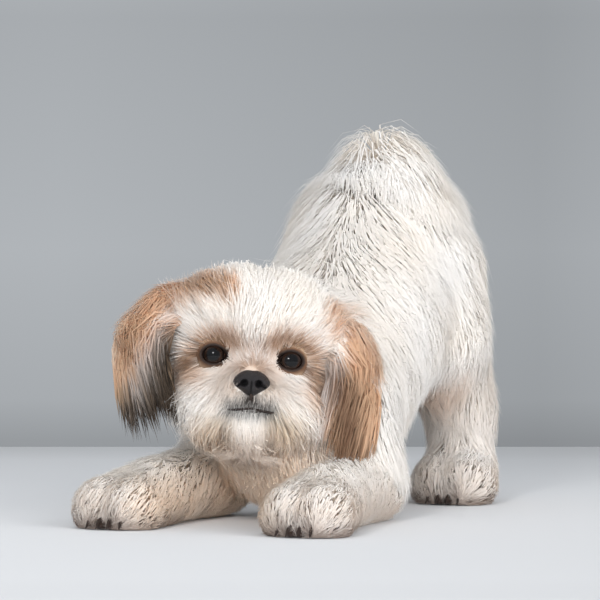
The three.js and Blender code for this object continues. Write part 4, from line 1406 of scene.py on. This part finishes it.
def grow(name, seed):
    """The long hair of one region."""
    rng = np.random.default_rng(seed)
    style = STYLES[name]
    region = REGION_NAMES.index(name)
    weights = (triangle_region == region) * ~bare(triangle_middle)
    if name == "head":
        weights = weights * blend(3.6, 1.0, smooth(from_face(triangle_middle), 5, 30))
    count = style["count"] // 1
    roots, picked, u, v = scattered(count, weights, rng)
    uv = unwrapped(picked, u, v)
    length = style["length"] * rng.uniform(*SPREAD["length"], count)
    width = style["width"] * rng.uniform(*SPREAD["width"], count)
    top = rng.uniform(*SPREAD["top"], count) ** 0.7
    swing = 0.3 * ripple(roots, 22, 7) + rng.normal(0, SPREAD["swing"], count)
    stray = rng.random(count) < STRAY["share"]
    top = np.where(stray, rng.uniform(*STRAY["top"], count), top)
    swing = np.where(stray, rng.normal(0, STRAY["swing"], count), swing)
    width = np.where(stray, STRAY["width"] * width, width)
    if name == "head":
        near = smooth(from_face(roots), 4, 40)
        top = np.where(near < 0.7, top * rng.uniform(0.6, 1.2, count), top)
        length, top = head_growth(roots, length * blend(0.34, 1.15, near), top)
        width = width * blend(0.6, 1.0, near)
    form = WHOLE if name == "tail" else BODY
    points, facing = combed(form, roots, LIES[name], style, length, top, swing)
    points = gathered(points, roots, style, rng)
    points[:, :, 2] = np.maximum(points[:, :, 2], FLOOR_CLEARANCE)
    colours = tuft_colours(points, roots, np.full(count, region), rng)
    add_coat(name, points, facing, width, colours, uv)


for order, region_name in enumerate(STYLES):
    grow(region_name, 100 + order)


def body_lie(points, regions):
    """The lie of the coat for points of every region at once."""
    lie = np.empty_like(points)
    for name, lie_of in LIES.items():
        mine = among(regions, name)
        lie[mine] = lie_of(points[mine])
    return lie


def grow_undercoat(seed):
    """Short broad woolly tufts all over, close under the long hair."""
    rng = np.random.default_rng(seed)
    count = UNDERCOAT["count"] // 1
    thicker = np.array([UNDERCOAT_WEIGHTS[name] for name in REGION_NAMES])[triangle_region]
    open_face = smooth(from_face(triangle_middle), 10, 16)
    roots, picked, u, v = scattered(count, ~bare(triangle_middle) * open_face * thicker, rng)
    regions = triangle_region[picked]
    uv = unwrapped(picked, u, v)
    near = np.where(among(regions, "head"), smooth(from_face(roots), 6, 36), 1)
    size = blend(0.25, 1, near) * np.where(among(regions, "paws", "ear_bases"), 0.75, 1)
    length = UNDERCOAT["length"] * size * rng.uniform(0.8, 1.2, count)
    width = UNDERCOAT["width"] * size * rng.uniform(0.8, 1.2, count)
    top = UNDERCOAT_TOP * rng.uniform(0.5, 1.06, count)
    swing = rng.normal(0, 0.3, count)
    points, facing = combed(WHOLE, roots, lambda p: body_lie(p, regions), UNDERCOAT, length, top, swing)
    points[:, :, 2] = np.maximum(points[:, :, 2], FLOOR_CLEARANCE)
    colours = tuft_colours(points, roots, regions, rng)
    add_coat("under", points, facing, width, colours, uv)


grow_undercoat(90)


# Ears: a thin cupped flap, with long waving tufts over its outer face and its rim
EAR_WIDTH = {1: 44, -1: 54}
EAR = {"thickness": 4, "cup": 6, "share": 0.68, "count": 2800, "length": 58, "tuft": 1.25}


def ear_frame(sign, along):
    spine = np.array([head_point(*p) for p in EARS[sign]])
    at, tangent = catmull(spine, along * EAR["share"])
    outwards = head_direction(0.8 * sign, -0.6, 0)
    wide = unit(outwards - (tangent @ outwards)[:, None] * tangent)
    outer = np.cross(tangent, wide)
    outer *= np.where(outer @ HEAD_AXES[1] < 0, -1, 1)[:, None]
    return at, tangent, wide, outer


def ear_swell(along):
    return np.sin(np.pi * blend(0.12, 1, along)) ** 0.6


def ear_flap(sign):
    rows, columns = 26, 24
    along = np.linspace(0.03, 0.97, rows)
    at, _, wide, outer = ear_frame(sign, along)
    turn = np.linspace(0, 2 * np.pi, columns, endpoint=False)
    across = np.cos(turn)[None] * ear_swell(along)[:, None]
    over = np.sin(turn)[None] * ear_swell(along)[:, None] * EAR["thickness"] / 2 - EAR["cup"] * across**2
    points = at[:, None] + wide[:, None] * (across * EAR_WIDTH[sign] / 2)[..., None]
    points = points + outer[:, None] * over[..., None]
    ends, _, _, _ = ear_frame(sign, np.array([0.0, 1.0]))
    points = np.concatenate([points.reshape(-1, 3), ends])
    triangles = capped(grid_triangles(rows, columns), rows, columns, rows * columns, rows * columns + 1)
    return points, triangles


def ear_coat(sign, seed):
    rng = np.random.default_rng(seed)
    count = EAR["count"] // 1
    along = rng.random(count)
    across = rng.uniform(-1, 1, count)
    at, tangent, wide, outer = ear_frame(sign, along)
    offset = across * ear_swell(along)
    root = at + wide * (offset * EAR_WIDTH[sign] / 2)[:, None] - outer * (EAR["cup"] * offset**2)[:, None]
    spine = np.array([head_point(*p) for p in EARS[sign]])
    ends, _ = catmull(spine, np.array([0.5, 1.0]))
    fall = unit(ends[1] - ends[0])
    facing_out = unit(head_direction(0.6 * sign, 0.8, 0.1))
    bends = 3
    length = EAR["length"] * rng.uniform(0.6, 1.12, count)
    layer = rng.uniform(-0.4, 1.0, count)
    points = [root - 1.0 * outer]
    here = root
    for k in range(1, bends + 1):
        falling = smooth(along + k / bends * 0.7, 0.3, 1.0)[:, None]
        step = unit(blend(tangent, fall, falling) + 0.25 * across[:, None] * wide * (1.2 - k / bends))
        here = here + step * (length / bends)[:, None]
        here = here + wide * (2.2 * ripple(root, 18, 11) * k / bends)[:, None]
        swell = 10 * math.sin(math.pi * min(k / bends, 0.6)) * (1 - 0.5 * np.abs(across))
        lifted = layer * swell + 1.5
        points.append(here + facing_out * lifted[:, None])
    points = np.stack(points, 1)
    points = gathered(points, root, {"gather": 0.6, "wave": 2.2}, rng)
    facing = np.tile(facing_out, (count, bends + 1, 1))
    width = EAR["tuft"] * rng.uniform(0.6, 1.3, count)
    spots = points + rng.normal(0, 2.0, (count, 1, 3))
    base = ear_markings(spots.reshape(-1, 3), sign).reshape(count, bends + 1, 3)
    colours = np.clip(base * strand_tone(count, bends + 1, root, rng), 0, 1)
    top_row = 1 - 1 / CHART_ROWS + CHART_GAP / 2
    height = 1 / CHART_ROWS - CHART_GAP
    uv = np.stack([0.5 + 0.25 * sign + 0.23 * across, top_row + height * along], 1)
    return points, facing, width, colours, uv


ear_parts = [ear_coat(sign, 300 + sign) for sign in (-1, 1)]
add_coat("ears", *[np.concatenate([a, b]) for a, b in zip(*ear_parts)])
for ear_sign in (-1, 1):
    flap_points, flap_triangles = ear_flap(ear_sign)
    flap_colours = ear_markings(flap_points, ear_sign) * 0.8
    flap = mesh_object(paired("ear_flap", ear_sign), flap_points, flap_triangles, SKIN, flap_colours)
    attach(flap, "root")

for eye_sign in (-1, 1):
    eye(eye_sign)
    eyelid(eye_sign)
nose()
mouth()
for paw_name, (_, paw_toes) in PAWS.items():
    paw_details(paw_name, paw_toes)

bpy.context.scene.view_settings.view_transform = "Standard"
